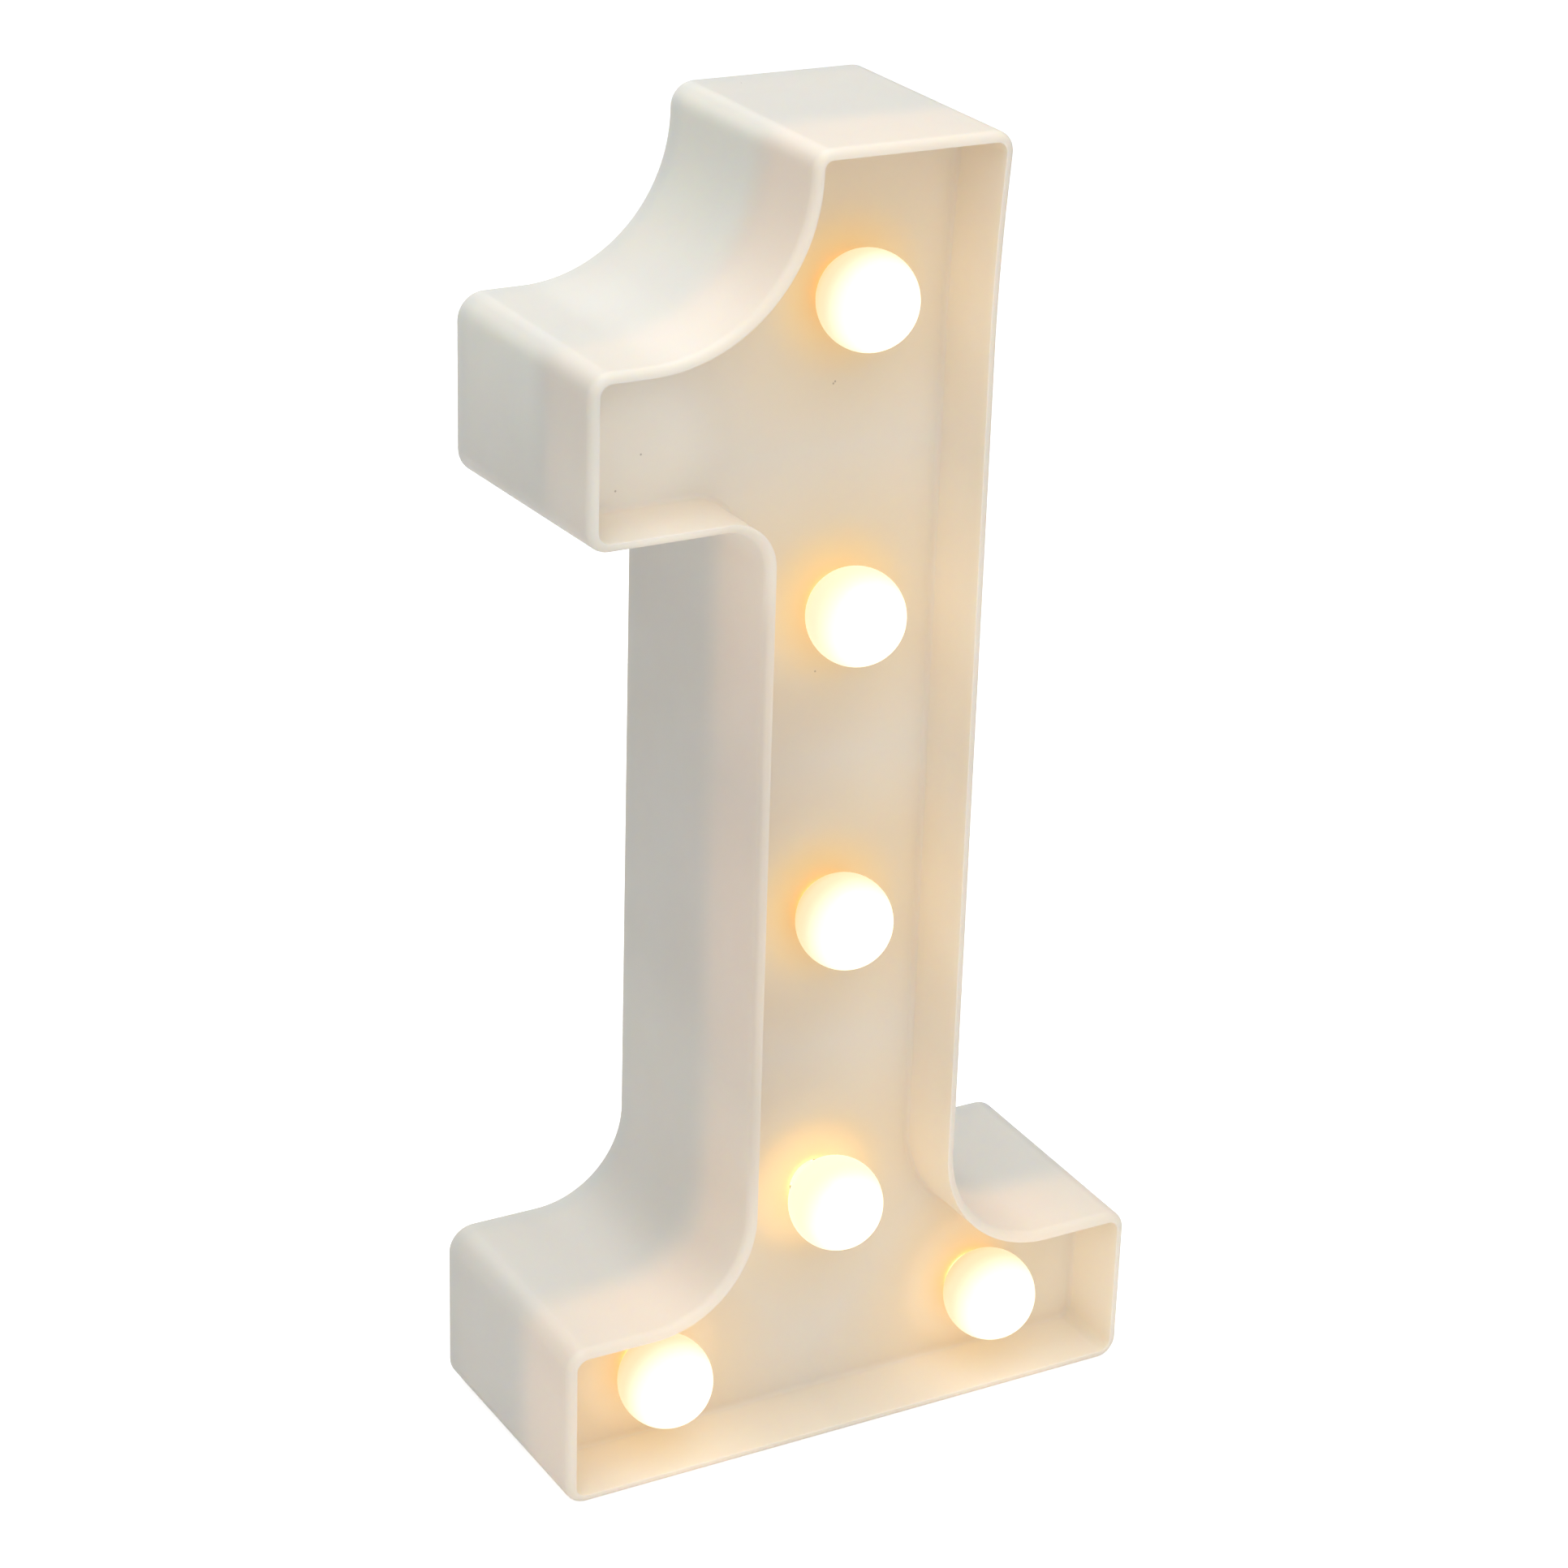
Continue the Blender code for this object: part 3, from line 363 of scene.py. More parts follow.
def vector_maths(tree, operation, first, second):
    """Results of a step of arithmetic on two vectors."""
    step = node(tree, "ShaderNodeVectorMath", p_operation=operation)
    put(tree, step.inputs[0], first)
    put(tree, step.inputs[1], second)
    return step.outputs


def maths(tree, operation, first, second=0.0):
    """A step of arithmetic on sockets or numbers."""
    step = node(tree, "ShaderNodeMath", p_operation=operation)
    put(tree, step.inputs[0], first)
    put(tree, step.inputs[1], second)
    return step.outputs[0]


def product(tree, first, *others):
    """Product of a socket and of more sockets or numbers."""
    for other in others:
        first = maths(tree, "MULTIPLY", first, other)
    return first


def mixed(tree, factor, first, second):
    """A colour mix; factor and colours are sockets or fixed values."""
    mix = node(tree, "ShaderNodeMix", p_data_type="RGBA")
    for socket, value in ((mix.inputs[0], factor), (mix.inputs[6], first), (mix.inputs[7], second)):
        put(tree, socket, value)
    return mix.outputs[2]


def ramped(tree, value, low, high, to_low=0.0, to_high=1.0):
    """A value carried smoothly from one range to another."""
    return node(tree, "ShaderNodeMapRange", p_interpolation_type="SMOOTHSTEP", Value=value,
                From_Min=low, From_Max=high, To_Min=to_low, To_Max=to_high).outputs[0]


def bumped(tree, shader, height, strength, distance):
    """Give a surface a fine relief."""
    bump = node(tree, "ShaderNodeBump", Height=height, Strength=strength, Distance=distance)
    feed(tree, shader, Normal=bump.outputs["Normal"])


def node_group(name, inputs, outputs):
    """A node group that takes a place and named numbers, and gives named numbers."""
    tree = bpy.data.node_groups.new(name, "ShaderNodeTree")
    tree.interface.new_socket("Place", in_out="INPUT", socket_type="NodeSocketVector")
    for title, value in inputs.items():
        socket = tree.interface.new_socket(title, in_out="INPUT", socket_type="NodeSocketFloat")
        socket.default_value = value
    for title in outputs:
        tree.interface.new_socket(title, in_out="OUTPUT", socket_type="NodeSocketFloat")
    given, out = tree.nodes.new("NodeGroupInput"), tree.nodes.new("NodeGroupOutput")
    return tree, given.outputs, out.inputs


def placed(tree, group):
    """Results of a node group at each place on the object."""
    made = node(tree, "ShaderNodeGroup", p_node_tree=group)
    feed(tree, made, Place=object_place(tree))
    return made.outputs


speck_rarity, speck_colour = 0.64, (0.12, 0.10, 0.09)
mottle_spread, gloss_spread, gloss_gain, gloss_loss = (0.35, 0.65), (0.3, 0.7), 0.04, 0.05


def moulded_grain():
    """Fine grain, slow mottling and rare dark specks of a moulded surface."""
    tree, given, out = node_group(
        "moulded_grain", {"Grain Scale": 2400.0, "Mottle Scale": 28.0, "Speck Scale": 70.0,
                          "Speck Size": 0.014}, ("Grain", "Mottle", "Specks"))
    place, speck_scale = given["Place"], given["Speck Scale"]
    grain = noise(tree, place, Scale=given["Grain Scale"], Detail=3.0, Roughness=0.6)
    mottle = noise(tree, place, Scale=given["Mottle Scale"], Detail=4.0, Roughness=0.55)
    specks = node(tree, "ShaderNodeTexVoronoi", Vector=place, Scale=speck_scale)
    small = maths(tree, "LESS_THAN", specks.outputs["Distance"], given["Speck Size"])
    chance = noise(tree, place, Scale=speck_scale, Detail=1.0)
    put(tree, out["Grain"], grain)
    put(tree, out["Mottle"], mottle)
    put(tree, out["Specks"], product(tree, small, maths(tree, "GREATER_THAN", chance,
                                                        speck_rarity)))
    return tree


grain_group = moulded_grain()


def blank_material(name, colour, roughness, metallic=0.0):
    """A Principled material, its tree and its shader."""
    material = bpy.data.materials.new(name)
    material.use_nodes = True
    tree = material.node_tree
    shader = tree.nodes["Principled BSDF"]
    feed(tree, shader, Base_Color=colour, Roughness=roughness, Metallic=metallic)
    return material, tree, shader


def moulded_plastic(name, colour, shade, roughness, grain_depth=0.00002):
    """Satin moulded plastic with grain, mottling and specks; its tree and shader as well."""
    material, tree, shader = blank_material(name, colour, roughness)
    grain = placed(tree, grain_group)
    body = mixed(tree, ramped(tree, grain["Mottle"], *mottle_spread), colour, shade)
    feed(tree, shader, Base_Color=mixed(tree, grain["Specks"], body, speck_colour),
         Roughness=ramped(tree, grain["Mottle"], *gloss_spread, roughness - gloss_gain,
                          roughness + gloss_loss))
    bumped(tree, shader, grain["Grain"], 0.35, grain_depth)
    return material, tree, shader


def nearest_place(name, places):
    """Distance in the plane of the digit to the nearest place, and depth behind the rim."""
    tree, given, out = node_group(name, {}, ("Distance", "Depth"))
    flat = vector_maths(tree, "MULTIPLY", given["Place"], (1, 0, 1))["Vector"]
    nearest, *others = [vector_maths(tree, "DISTANCE", flat, (place.x, 0, place.z))["Value"]
                        for place in places]
    for other in others:
        nearest = maths(tree, "MINIMUM", nearest, other)
    put(tree, out["Distance"], nearest)
    put(tree, out["Depth"], maths(tree, "SUBTRACT", split(tree, given["Place"])["Y"], rim_y))
    return tree


abs_colour, abs_shade, abs_roughness = (0.80, 0.765, 0.70), (0.785, 0.742, 0.668), 0.38
abs_scatter, scatter_reach, scatter_colours = 0.70, 0.0030, (1.0, 0.72, 0.45)
# Painted light and shade on the shell: amber lamp light that glows from it near the lamps and tints
# its floor, a pale glow in the flag's pocket and at the base's right end, grey painted shade and a
# cream painted lighter wall.
lamp_amber, glow_strength, pocket_light_colour = (1.0, 0.58, 0.27), 0.103, (0.135, 0.110, 0.085)
wall_shade, head_light = (0.40, 0.38, 0.35), (1.0, 0.935, 0.815)
painted_halo_amber, light_pool_amber, light_leak_amber = (0.72, 0.62, 0.44), (0.71, 0.57, 0.30), (0.78, 0.68, 0.48)
floor_speck, speck_reach, loose_lamp, light_leak_shift = (0.20, 0.16, 0.12), 0.00022, 4, 0.0015
light_leak_place = lamp_places[loose_lamp - 1] - Vector((light_leak_shift, 0, 0))
pocket_light_places = [Vector((-0.037, 0, 0.174)), Vector((0.046, 0, 0.014))]
speck_places = [Vector((x, 0, z)) for x, z in
                ((-0.0045, 0.1333), (-0.0027, 0.1806), (-0.0030, 0.1803), (0.0180, 0.1757),
                 (-0.0359, 0.1734), (-0.0401, 0.1682), (-0.0216, 0.0348))]

# Each painted light, tint or shade, and each part of the shell it is kept to, starts at the
# first of two distances, depths or heights, and is full at the second. Faces are told apart by
# the part of their normal along one axis.
glow_fade, far_glow_fade, room_fade = (0.0540, 0.0100), (0.0750, 0.0250), (0.0210, 0.0130)
painted_halo_fade, light_pool_fade, light_leak_fade = (0.0340, 0.0070), (0.0155, 0.0060), (0.0135, 0.0075)
low_glow_fade, base_floor_lift_fade = (0.0240, 0.0090), (0.0150, 0.0100)
pocket_light_fade, pocket_light_rise = (0.0165, 0.0060), (0.0150, 0.0135)
floor_rise, floor_sink, faces_front = (0.0150, 0.0140), (0.0105, 0.0130), (-0.3, -0.9)
stem_foot, stem_head, left_edge = (0.040, 0.062), (0.158, 0.146), (-0.010, -0.014)
wall_shadow_across, clear_of_lamps = (0.010, -0.017), (0.0110, 0.0200)
rim_depth, rim_faces_front = (0.0030, 0.0015), (0.0, -0.7)
side_foot, side_head, faces_left = (0.058, 0.090), (0.158, 0.138), (-0.5, -0.95)
head_foot, behind_glow = (0.163, 0.195), (0.0130, 0.0210)

shell_plastic, tree, shader = moulded_plastic("off_white_abs", abs_colour, abs_shade, abs_roughness)
feed(tree, shader, Subsurface_Weight=abs_scatter, Subsurface_Radius=scatter_colours,
     Subsurface_Scale=scatter_reach)
reaches = [placed(tree, nearest_place(name, places)) for name, places in (
    ("lamp_distance", lamp_places), ("base_lamp_distance", lamp_places[4:]),
    ("light_leak_distance", [light_leak_place]), ("pocket_light_distance", pocket_light_places),
    ("speck_distance", speck_places))]
distance, base_distance, light_leak_distance, pocket_light_distance, speck_distance = (
    reach["Distance"] for reach in reaches)
depth = reaches[0]["Depth"]
spot = split(tree, object_place(tree))
facing = split(tree, tree.nodes.new("ShaderNodeTexCoord").outputs["Normal"])

# Painted light: the shell glows amber round the lamps, more on the floor near them, round the loose
# lamp's neck and round the two base lamps, and a little over the floor further out, for lamp light
# let through the plastic.
lit_room = ramped(tree, depth, *room_fade)
near_floor = product(tree, ramped(tree, depth, *floor_rise), ramped(tree, depth, *floor_sink))
on_floor = product(tree, near_floor, ramped(tree, facing["Y"], *faces_front))
glow = product(tree, ramped(tree, distance, *glow_fade), lit_room, glow_strength)
# Painted light and shade on the floor: an amber halo of lamp light with the globe's shade round
# each lamp, tinting the colour, and a closer pool and a leak at the loose lamp's neck that tint it
# and also glow.
painted_halo = product(tree, ramped(tree, distance, *painted_halo_fade), on_floor)
light_pool = product(tree, ramped(tree, distance, *light_pool_fade), on_floor)
light_leak = product(tree, ramped(tree, light_leak_distance, *light_leak_fade), on_floor)
low_glow = product(tree, ramped(tree, base_distance, *low_glow_fade), lit_room)
far_glow = product(tree, ramped(tree, distance, *far_glow_fade), on_floor)
for share, strength in ((light_pool, 0.155), (low_glow, 0.07), (light_leak, 0.09), (far_glow, 0.02)):
    glow = maths(tree, "ADD", glow, product(tree, share, strength))
glow = mixed(tree, glow, (0.0, 0.0, 0.0), lamp_amber)
# Painted light: a pale glow on the floor and walls in the flag's pocket and at the base's right
# end.
pocket = product(tree, ramped(tree, pocket_light_distance, *pocket_light_fade),
                 ramped(tree, depth, *pocket_light_rise))
feed(tree, shader, Emission_Color=mixed(tree, pocket, glow, pocket_light_colour), Emission_Strength=1.0)

# Painted light: near the two base lamps the floor's colour is lifted part way back to the plain
# plastic, lighter than the painted halo.
base_floor_painted_lift = product(tree, ramped(tree, base_distance, *base_floor_lift_fade), on_floor)
stem_height = product(tree, ramped(tree, spot["Z"], *stem_foot),
                      ramped(tree, spot["Z"], *stem_head))
# Painted shade: the stem's floor grows darker towards its left wall, as that wall's shadow, away
# from the lamps.
wall_shadow_on_floor = product(tree, ramped(tree, spot["X"], *wall_shadow_across), stem_height,
                      ramped(tree, distance, *clear_of_lamps), on_floor)
left_side = ramped(tree, spot["X"], *left_edge)
# Painted shade: the front of the stem's left rim is darkened, damping its highlight.
left_rim_painted_shade = product(tree, left_side, stem_height, ramped(tree, depth, *rim_depth),
                   ramped(tree, facing["Y"], *rim_faces_front))
left_wall = product(tree, left_side, ramped(tree, facing["X"], *faces_left))
# Painted shade: the outer left side of the stem is darker below the flag.
stem_side_painted_shade = product(tree, left_wall, ramped(tree, spot["Z"], *side_foot),
                    ramped(tree, spot["Z"], *side_head))
# Painted light: the left sides of the flag and head grow lighter upward from the flag's underside,
# back from the rim, as if lit from above.
head_side_painted_light = product(tree, left_wall, ramped(tree, spot["Z"], *head_foot),
                    ramped(tree, depth, *behind_glow))
specks = product(tree, ramped(tree, speck_distance, speck_reach, speck_reach / 2), on_floor)
surface = shader.inputs["Base Color"].links[0].from_socket
# Each mix below is painted light or shade, save the last: the specks are real marks on the floor.
for share, strength, tint in (
        (painted_halo, 0.70, painted_halo_amber), (light_pool, 0.76, light_pool_amber), (light_leak, 0.60, light_leak_amber),
        (base_floor_painted_lift, 0.40, abs_colour), (wall_shadow_on_floor, 0.30, wall_shade),
        (left_rim_painted_shade, 0.26, wall_shade), (stem_side_painted_shade, 0.17, wall_shade),
        (head_side_painted_light, 0.85, head_light), (specks, 0.6, floor_speck)):
    surface = mixed(tree, product(tree, share, strength), surface, tint)
feed(tree, shader, Base_Color=surface)
hand_over(tray, "housing", "shell_plastic", shell_plastic, "front_shell")

# Globes. Six frosted balls in warm white polypropylene, blow moulded with a neck that
# snaps through the floor; the diode inside the neck lights them from behind, so the
# neck glows amber and the front of the ball burns out to white.
globe_radius, globe_wall, neck_radius, neck_end = 0.0079, 0.0010, 0.0042, 0.0121
bead_start, bead_width, seat_gap = 0.0108, 0.0004, 0.0003
globe_y = floor_y - math.sqrt((globe_radius + seat_gap) ** 2 - socket_bore ** 2)
neck_top = math.sqrt(globe_radius ** 2 - neck_radius ** 2)
loose_turn = math.radians(5)
globe_plastic, globe_gloss, globe_light = (0.30, 0.27, 0.20), 0.30, 0.95
lit_front, lit_side, lit_rear = (1.35, 1.27, 1.02), (0.80, 0.68, 0.43), (0.64, 0.48, 0.25)
lit_neck, lit_proud = (0.80, 0.48, 0.17), (1.05, 0.86, 0.62)
side_from, side_to, rear_to, neck_from = -0.80, 0.05, 0.62, 0.55


def ring_step(radius_before, radius, depth_step):
    """Extrude the open ring by a depth and bring it to a new radius."""
    draw_out(0, depth_step, 0)
    share = radius / radius_before
    bpy.ops.transform.resize(value=(share, 1, share))


bpy.ops.mesh.primitive_uv_sphere_add(segments=64, ring_count=40, radius=globe_radius,
                                     rotation=(math.radians(90), 0, 0))
globe = begin("globe")
pick_all()
bpy.ops.mesh.bisect(plane_co=(0, neck_top, 0), plane_no=(0, 1, 0), clear_outer=True)
pick("EDGE", lambda p: at(p.y, neck_top))
draw_out(0, bead_start - neck_top, 0)
ring_step(neck_radius, neck_radius + bead_width, 0)
ring_step(neck_radius + bead_width, neck_radius, neck_end - bead_start)
turn_outward()
stop_editing()
modify(globe, "SOLIDIFY", thickness=globe_wall, offset=-1)
smooth_faces(globe, 40)

globe_material, tree, shader = blank_material("lit_globe", globe_plastic, globe_gloss)
place = object_place(tree)
depth = split(tree, place)["Y"]
side = ramped(tree, depth, globe_y + side_from * globe_radius, globe_y + side_to * globe_radius)
rear = ramped(tree, depth, globe_y, globe_y + rear_to * globe_radius)
neck = ramped(tree, depth, globe_y + neck_from * globe_radius, globe_y + neck_top)
glow = mixed(tree, side, lit_front, lit_side)
glow = mixed(tree, rear, glow, lit_rear)
glow = mixed(tree, neck, glow, lit_neck)
for lamp, share in ((loose_lamp, 1.0), (2, 0.5)):
    middle = (lamp_places[lamp - 1].x, globe_y, lamp_places[lamp - 1].z)
    apart = vector_maths(tree, "DISTANCE", place, middle)["Value"]
    this_globe = ramped(tree, apart, 2.5 * globe_radius, 2.4 * globe_radius)
    glow = mixed(tree, product(tree, side, this_globe, share), glow, lit_proud)
feed(tree, shader, Emission_Color=glow, Emission_Strength=globe_light)
bumped(tree, shader, noise(tree, place, Scale=5200.0, Detail=2.0), 0.25, 0.00001)

for i, place in enumerate(lamp_places, 1):
    alone(globe)
    bpy.ops.object.duplicate()
    copy = bpy.context.object
    copy.name = copy.data.name = f"globe_{i}"
    copy.location = (place.x, globe_y, place.z)
    if i == loose_lamp:
        seat = Matrix.Translation((place.x, floor_y, place.z))
        lean = Matrix.Rotation(loose_turn, 4, Vector((1, 0, 1)))
        copy.matrix_world = seat @ lean @ seat.inverted() @ Matrix.Translation(copy.location)
    bpy.ops.object.transform_apply()
    hand_over(copy, "housing", "globe_plastic", globe_material, f"bulb_{i}")
throw_away(globe)

# Light diodes. Warm white diodes of 5 mm: a clear resin dome on a flanged foot, cast
# round two tinned steel legs that stand out behind the neck for the leads.
diode_radius, diode_length, foot_radius, foot_height = 0.0025, 0.0086, 0.0029, 0.0010
leg_pitch, leg_side, leg_length, leg_hold, leg_tip = 0.00254, 0.0006, 0.00321, 0.0004, 0.5
diode_break, leg_break, diode_light = 0.00012, 0.0001, 2.0
diode_foot = globe_y + neck_end


def block(name, low, high, rounding=0.0, axis=1, segments=4):
    """A square block between two corners, its edges along one axis rounded."""
    low, high = Vector(low), Vector(high)
    bpy.ops.mesh.primitive_cube_add(size=1, location=(low + high) / 2)
    piece = bpy.context.object
    piece.scale = high - low
    begin(name)
    if rounding:
        pick_along(axis, lambda p: True)
        round_edges(rounding, segments)
    stop_editing()
    return piece


def edit(piece):
    """Open one finished piece for editing."""
    alone(piece)
    bpy.ops.object.mode_set(mode="EDIT")


def pick_along(axis, test):
    """Select the edges that run along one axis and whose points pass a test."""
    bpy.ops.mesh.select_mode(type="EDGE")
    bpy.ops.mesh.select_all(action="DESELECT")
    edited = bmesh.from_edit_mesh(bpy.context.object.data)
    for edge in edited.edges:
        run = edge.verts[1].co - edge.verts[0].co
        edge.select_set(abs(run[axis]) > 0.99 * run.length
                        and all(test(point.co) for point in edge.verts))
    edited.select_flush_mode()
    bmesh.update_edit_mesh(bpy.context.object.data)


def soften(piece, width, segments=2, angle=40):
    """Round the sharp edges of a finished shape a little, then shade it."""
    modify(piece, "BEVEL", limit_method="ANGLE", angle_limit=math.radians(angle), width=width,
           segments=segments)
    smooth_faces(piece)


def repeat(piece, name, place, turn=0.0, about=(0, 1, 0)):
    """Copy a master piece to a place, with its own mesh, turned about an axis first."""
    alone(piece)
    bpy.ops.object.duplicate()
    made = bpy.context.object
    made.name = made.data.name = name
    made.matrix_world = Matrix.Translation(place) @ Matrix.Rotation(turn, 4, Vector(about))
    bpy.ops.object.transform_apply()
    return made


scratch_stretch, tarnish_spread = (1.0, 1.0, 9.0), (0.45, 0.95)
scratch_gain, scratch_loss = 0.08, 0.12


def metal_wear():
    """Fine scratches and cloudy tarnish on bare or plated metal."""
    tree, given, out = node_group("metal_wear", {"Scratch Scale": 900.0, "Tarnish Scale": 350.0},
                                  ("Scratches", "Tarnish"))
    place = given["Place"]
    drawn = vector_maths(tree, "MULTIPLY", place, scratch_stretch)["Vector"]
    put(tree, out["Scratches"], noise(tree, drawn, Scale=given["Scratch Scale"], Detail=5.0,
                                      Roughness=0.7))
    put(tree, out["Tarnish"], noise(tree, place, Scale=given["Tarnish Scale"], Detail=3.0))
    return tree


wear_group = metal_wear()


def metal(name, colour, dull, roughness):
    """Metal with drawn scratches and tarnish that dulls it in patches."""
    material, tree, shader = blank_material(name, colour, roughness, 1.0)
    wear = placed(tree, wear_group)
    feed(tree, shader,
         Base_Color=mixed(tree, ramped(tree, wear["Tarnish"], *tarnish_spread), colour, dull),
         Roughness=ramped(tree, wear["Scratches"], *gloss_spread, roughness - scratch_gain,
                          roughness + scratch_loss))
    bumped(tree, shader, wear["Scratches"], 0.2, 0.00001)
    return material


plated_steel = metal("plated_steel", (0.78, 0.77, 0.74), (0.60, 0.58, 0.53), 0.26)
resin, tree, shader = blank_material("diode_resin", (0.95, 0.86, 0.60), 0.10)
cast = noise(tree, object_place(tree), Scale=600.0, Detail=2.0)
clouded = ramped(tree, cast, *gloss_spread)
feed(tree, shader, Base_Color=mixed(tree, clouded, (0.96, 0.87, 0.60), (0.93, 0.80, 0.50)),
     Emission_Color=mixed(tree, cast, (1.0, 0.74, 0.34), (1.0, 0.66, 0.25)),
     Emission_Strength=diode_light)

bpy.ops.mesh.primitive_uv_sphere_add(segments=40, ring_count=24, radius=diode_radius,
                                     rotation=(math.radians(90), 0, 0))
diode = begin("diode")
pick_all()
bpy.ops.mesh.bisect(plane_co=(0, 0, 0), plane_no=(0, 1, 0), clear_outer=True)
pick("EDGE", lambda p: at(p.y, 0))
draw_out(0, diode_length - diode_radius - foot_height, 0)
ring_step(diode_radius, foot_radius, 0)
draw_out(0, foot_height, 0)
bpy.ops.mesh.edge_face_add()
turn_outward()
slide(0, diode_radius - diode_length, 0)
stop_editing()
soften(diode, diode_break)
half = leg_side / 2
legs = block("diode_legs", (leg_pitch / 2 - half, -leg_hold, -half),
             (leg_pitch / 2 + half, leg_length, half), leg_break, 1, 2)
edit(legs)
pick("FACE", lambda p: at(p.y, leg_length))
bpy.ops.transform.resize(value=(leg_tip, 1, leg_tip))
pick_all()
bpy.ops.mesh.duplicate_move(TRANSFORM_OT_translate={"value": (-leg_pitch, 0, 0)})
stop_editing()
smooth_faces(legs)
for i, place in enumerate(lamp_places, 1):
    upright = math.radians(90) if i > 4 else 0.0
    seat = (place.x, diode_foot, place.z)
    hand_over(repeat(diode, f"diode_{i}", seat, upright), "housing", "diode_resin", resin,
              f"led_{i}")
    hand_over(repeat(legs, f"diode_legs_{i}", seat, upright), "housing", "plated_steel",
              plated_steel, f"led_{i}")
throw_away(diode)
throw_away(legs)

# Back cover. A moulded plate in the tray's plastic that drops into the rear rebate. It
# carries the well for two cells, the seat of the door, the switch pocket with its ON and
# OFF, the keyhole for a wall hook, and six countersunk holes.
cover_thickness, fit_gap, lip_break = 0.0020, 0.0003, 0.00015
over, bite, weld, nearly_round = 0.0010, 0.0004, 0.000001, 0.98
cover_inner = back_y - cover_thickness
door_half, seat_low, seat_high, seat_depth = 0.0167, 0.066089, 0.134389, 0.0021
seat_frame, seat_plate, seat_corner, frame_corner = 0.0010, 0.0012, 0.0004, 0.0006
well_half, well_low, well_high, well_floor = 0.0152, 0.072089, 0.129889, 0.0056274
well_wall, well_corner, room_corner = 0.0012, 0.0008, 0.0005
hinge_z, tab_half, tab_spread, lip_thickness = 0.067289, 0.0033, 0.0190, 0.00205
tab_slot_drop, tab_slot_top = 0.0020, 0.070589
latch_half, latch_depth, latch_low = 0.0050, 0.0060, 0.132189
divider_half, divider_height, divider_reach = 0.0004, 0.0040, 0.0202
cell_pitch, cell_y, tail_half, tail_slot, tail_ease = 0.0150, 0.0133274, 0.0013, 0.0008, 0.00025
relief_inset, relief_half, relief_line = 0.0075, 0.0016, 0.00035
relief_root, relief_height = 0.0002, 0.0003
thumb_radius, thumb_depth = 0.0075, 0.0012
switch_x, switch_z, travel = -0.0035, 0.147489, 0.0040
slot_half, slot_rise, slot_corner = 0.0043, 0.0022, 0.0003
pocket_margin, pocket_depth, pocket_corner = 0.0024, 0.0009, 0.0005
ear_reach, ear_post, ear_post_reach = 0.0085, 0.0011, 0.0027
keyhole_z, keyhole_entry, keyhole_slot, keyhole_rise = 0.1960, 0.0045, 0.0023, 0.0085
head_radius, shank_radius, head_rim, head_height, head_lead = 0.0027, 0.0012, 0.0003, 0.0014, 0.0001
board_x, board_z = -0.0175, 0.1790
board_post, board_post_reach, board_post_spread = 0.0015, 0.0040, 0.0040
letter_size, letter_depth, ink_depth, ink_shrink = 0.0026, 0.00022, 0.00008, 0.00001
on_gap, off_gap = 0.0031, 0.0036

cover = digit_block("cover_plate")
pick("FACE", lambda p: at(p.y, back_y))
inset(rebate_wall + fit_gap)
bpy.ops.mesh.select_all(action="INVERT")
bpy.ops.mesh.delete(type="FACE")
pick_all()
push_in(-cover_thickness)
turn_outward()
stop_editing()


def span(middle, half):
    """Both ends of a length, from its middle and its half."""
    return middle - half, middle + half


def join_block(piece, name, across, deep, tall, *rounding):
    """Join a block to a piece, given by its ends along each axis."""
    join(piece, block(name, *zip(across, deep, tall), *rounding))


def cut_block(piece, name, across, deep, tall, *rounding):
    """Cut a block out of a piece, given by its ends along each axis."""
    cut(piece, block(name, *zip(across, deep, tall), *rounding))


seat_y = back_y - seat_depth
frame_y = seat_y - seat_plate
catch_y = back_y - latch_depth
left_cell, right_cell = span(stem_x, cell_pitch / 2)
join_block(cover, "seat_block", span(stem_x, door_half + seat_frame),
           (frame_y, cover_inner + bite), (seat_low - seat_frame, seat_high + seat_frame),
           frame_corner)
join_block(cover, "well_block", span(stem_x, well_half + well_wall),
           (well_floor - well_wall, frame_y + bite),
           (well_low - well_wall, well_high + well_wall), well_corner)
join_block(cover, "catch_wall", span(stem_x, latch_half + seat_frame),
           (catch_y, frame_y + bite), (seat_high, seat_high + seat_frame))
cut_block(cover, "door_recess", span(stem_x, door_half), (seat_y, back_y + over),
          (seat_low, seat_high), seat_corner)
cut_block(cover, "well_room", span(stem_x, well_half), (well_floor, back_y),
          (well_low, well_high), room_corner)
for middle in span(stem_x, tab_spread / 2):
    cut_block(cover, "tab_slot", span(middle, tab_half),
              (frame_y - over, back_y - lip_thickness), (seat_low - tab_slot_drop, tab_slot_top))
cut_block(cover, "latch_slot", span(stem_x, latch_half + fit_gap),
          (catch_y - over, back_y - lip_thickness), (latch_low, seat_high))
join_block(cover, "divider", span(stem_x, divider_half),
           (well_floor - bite, well_floor + divider_height),
           span((well_low + well_high) / 2, divider_reach))
for middle in (left_cell, right_cell):
    cut_block(cover, "tail_slot", span(middle, tail_half),
              (cell_y - tail_slot, cell_y + tail_slot - tail_ease),
              (well_high - tail_slot, well_high + well_wall + over))
relief_low, relief_high = well_low + relief_inset, well_high - relief_inset
raised = (well_floor - relief_root, well_floor + relief_height)
for x, z, plus in ((left_cell, relief_high, True), (left_cell, relief_low, False),
                   (right_cell, relief_high, False), (right_cell, relief_low, True)):
    join_block(cover, "minus_bar", span(x, relief_half), raised, span(z, relief_line))
    if plus:
        join_block(cover, "plus_bar", span(x, relief_line), raised, span(z, relief_half))
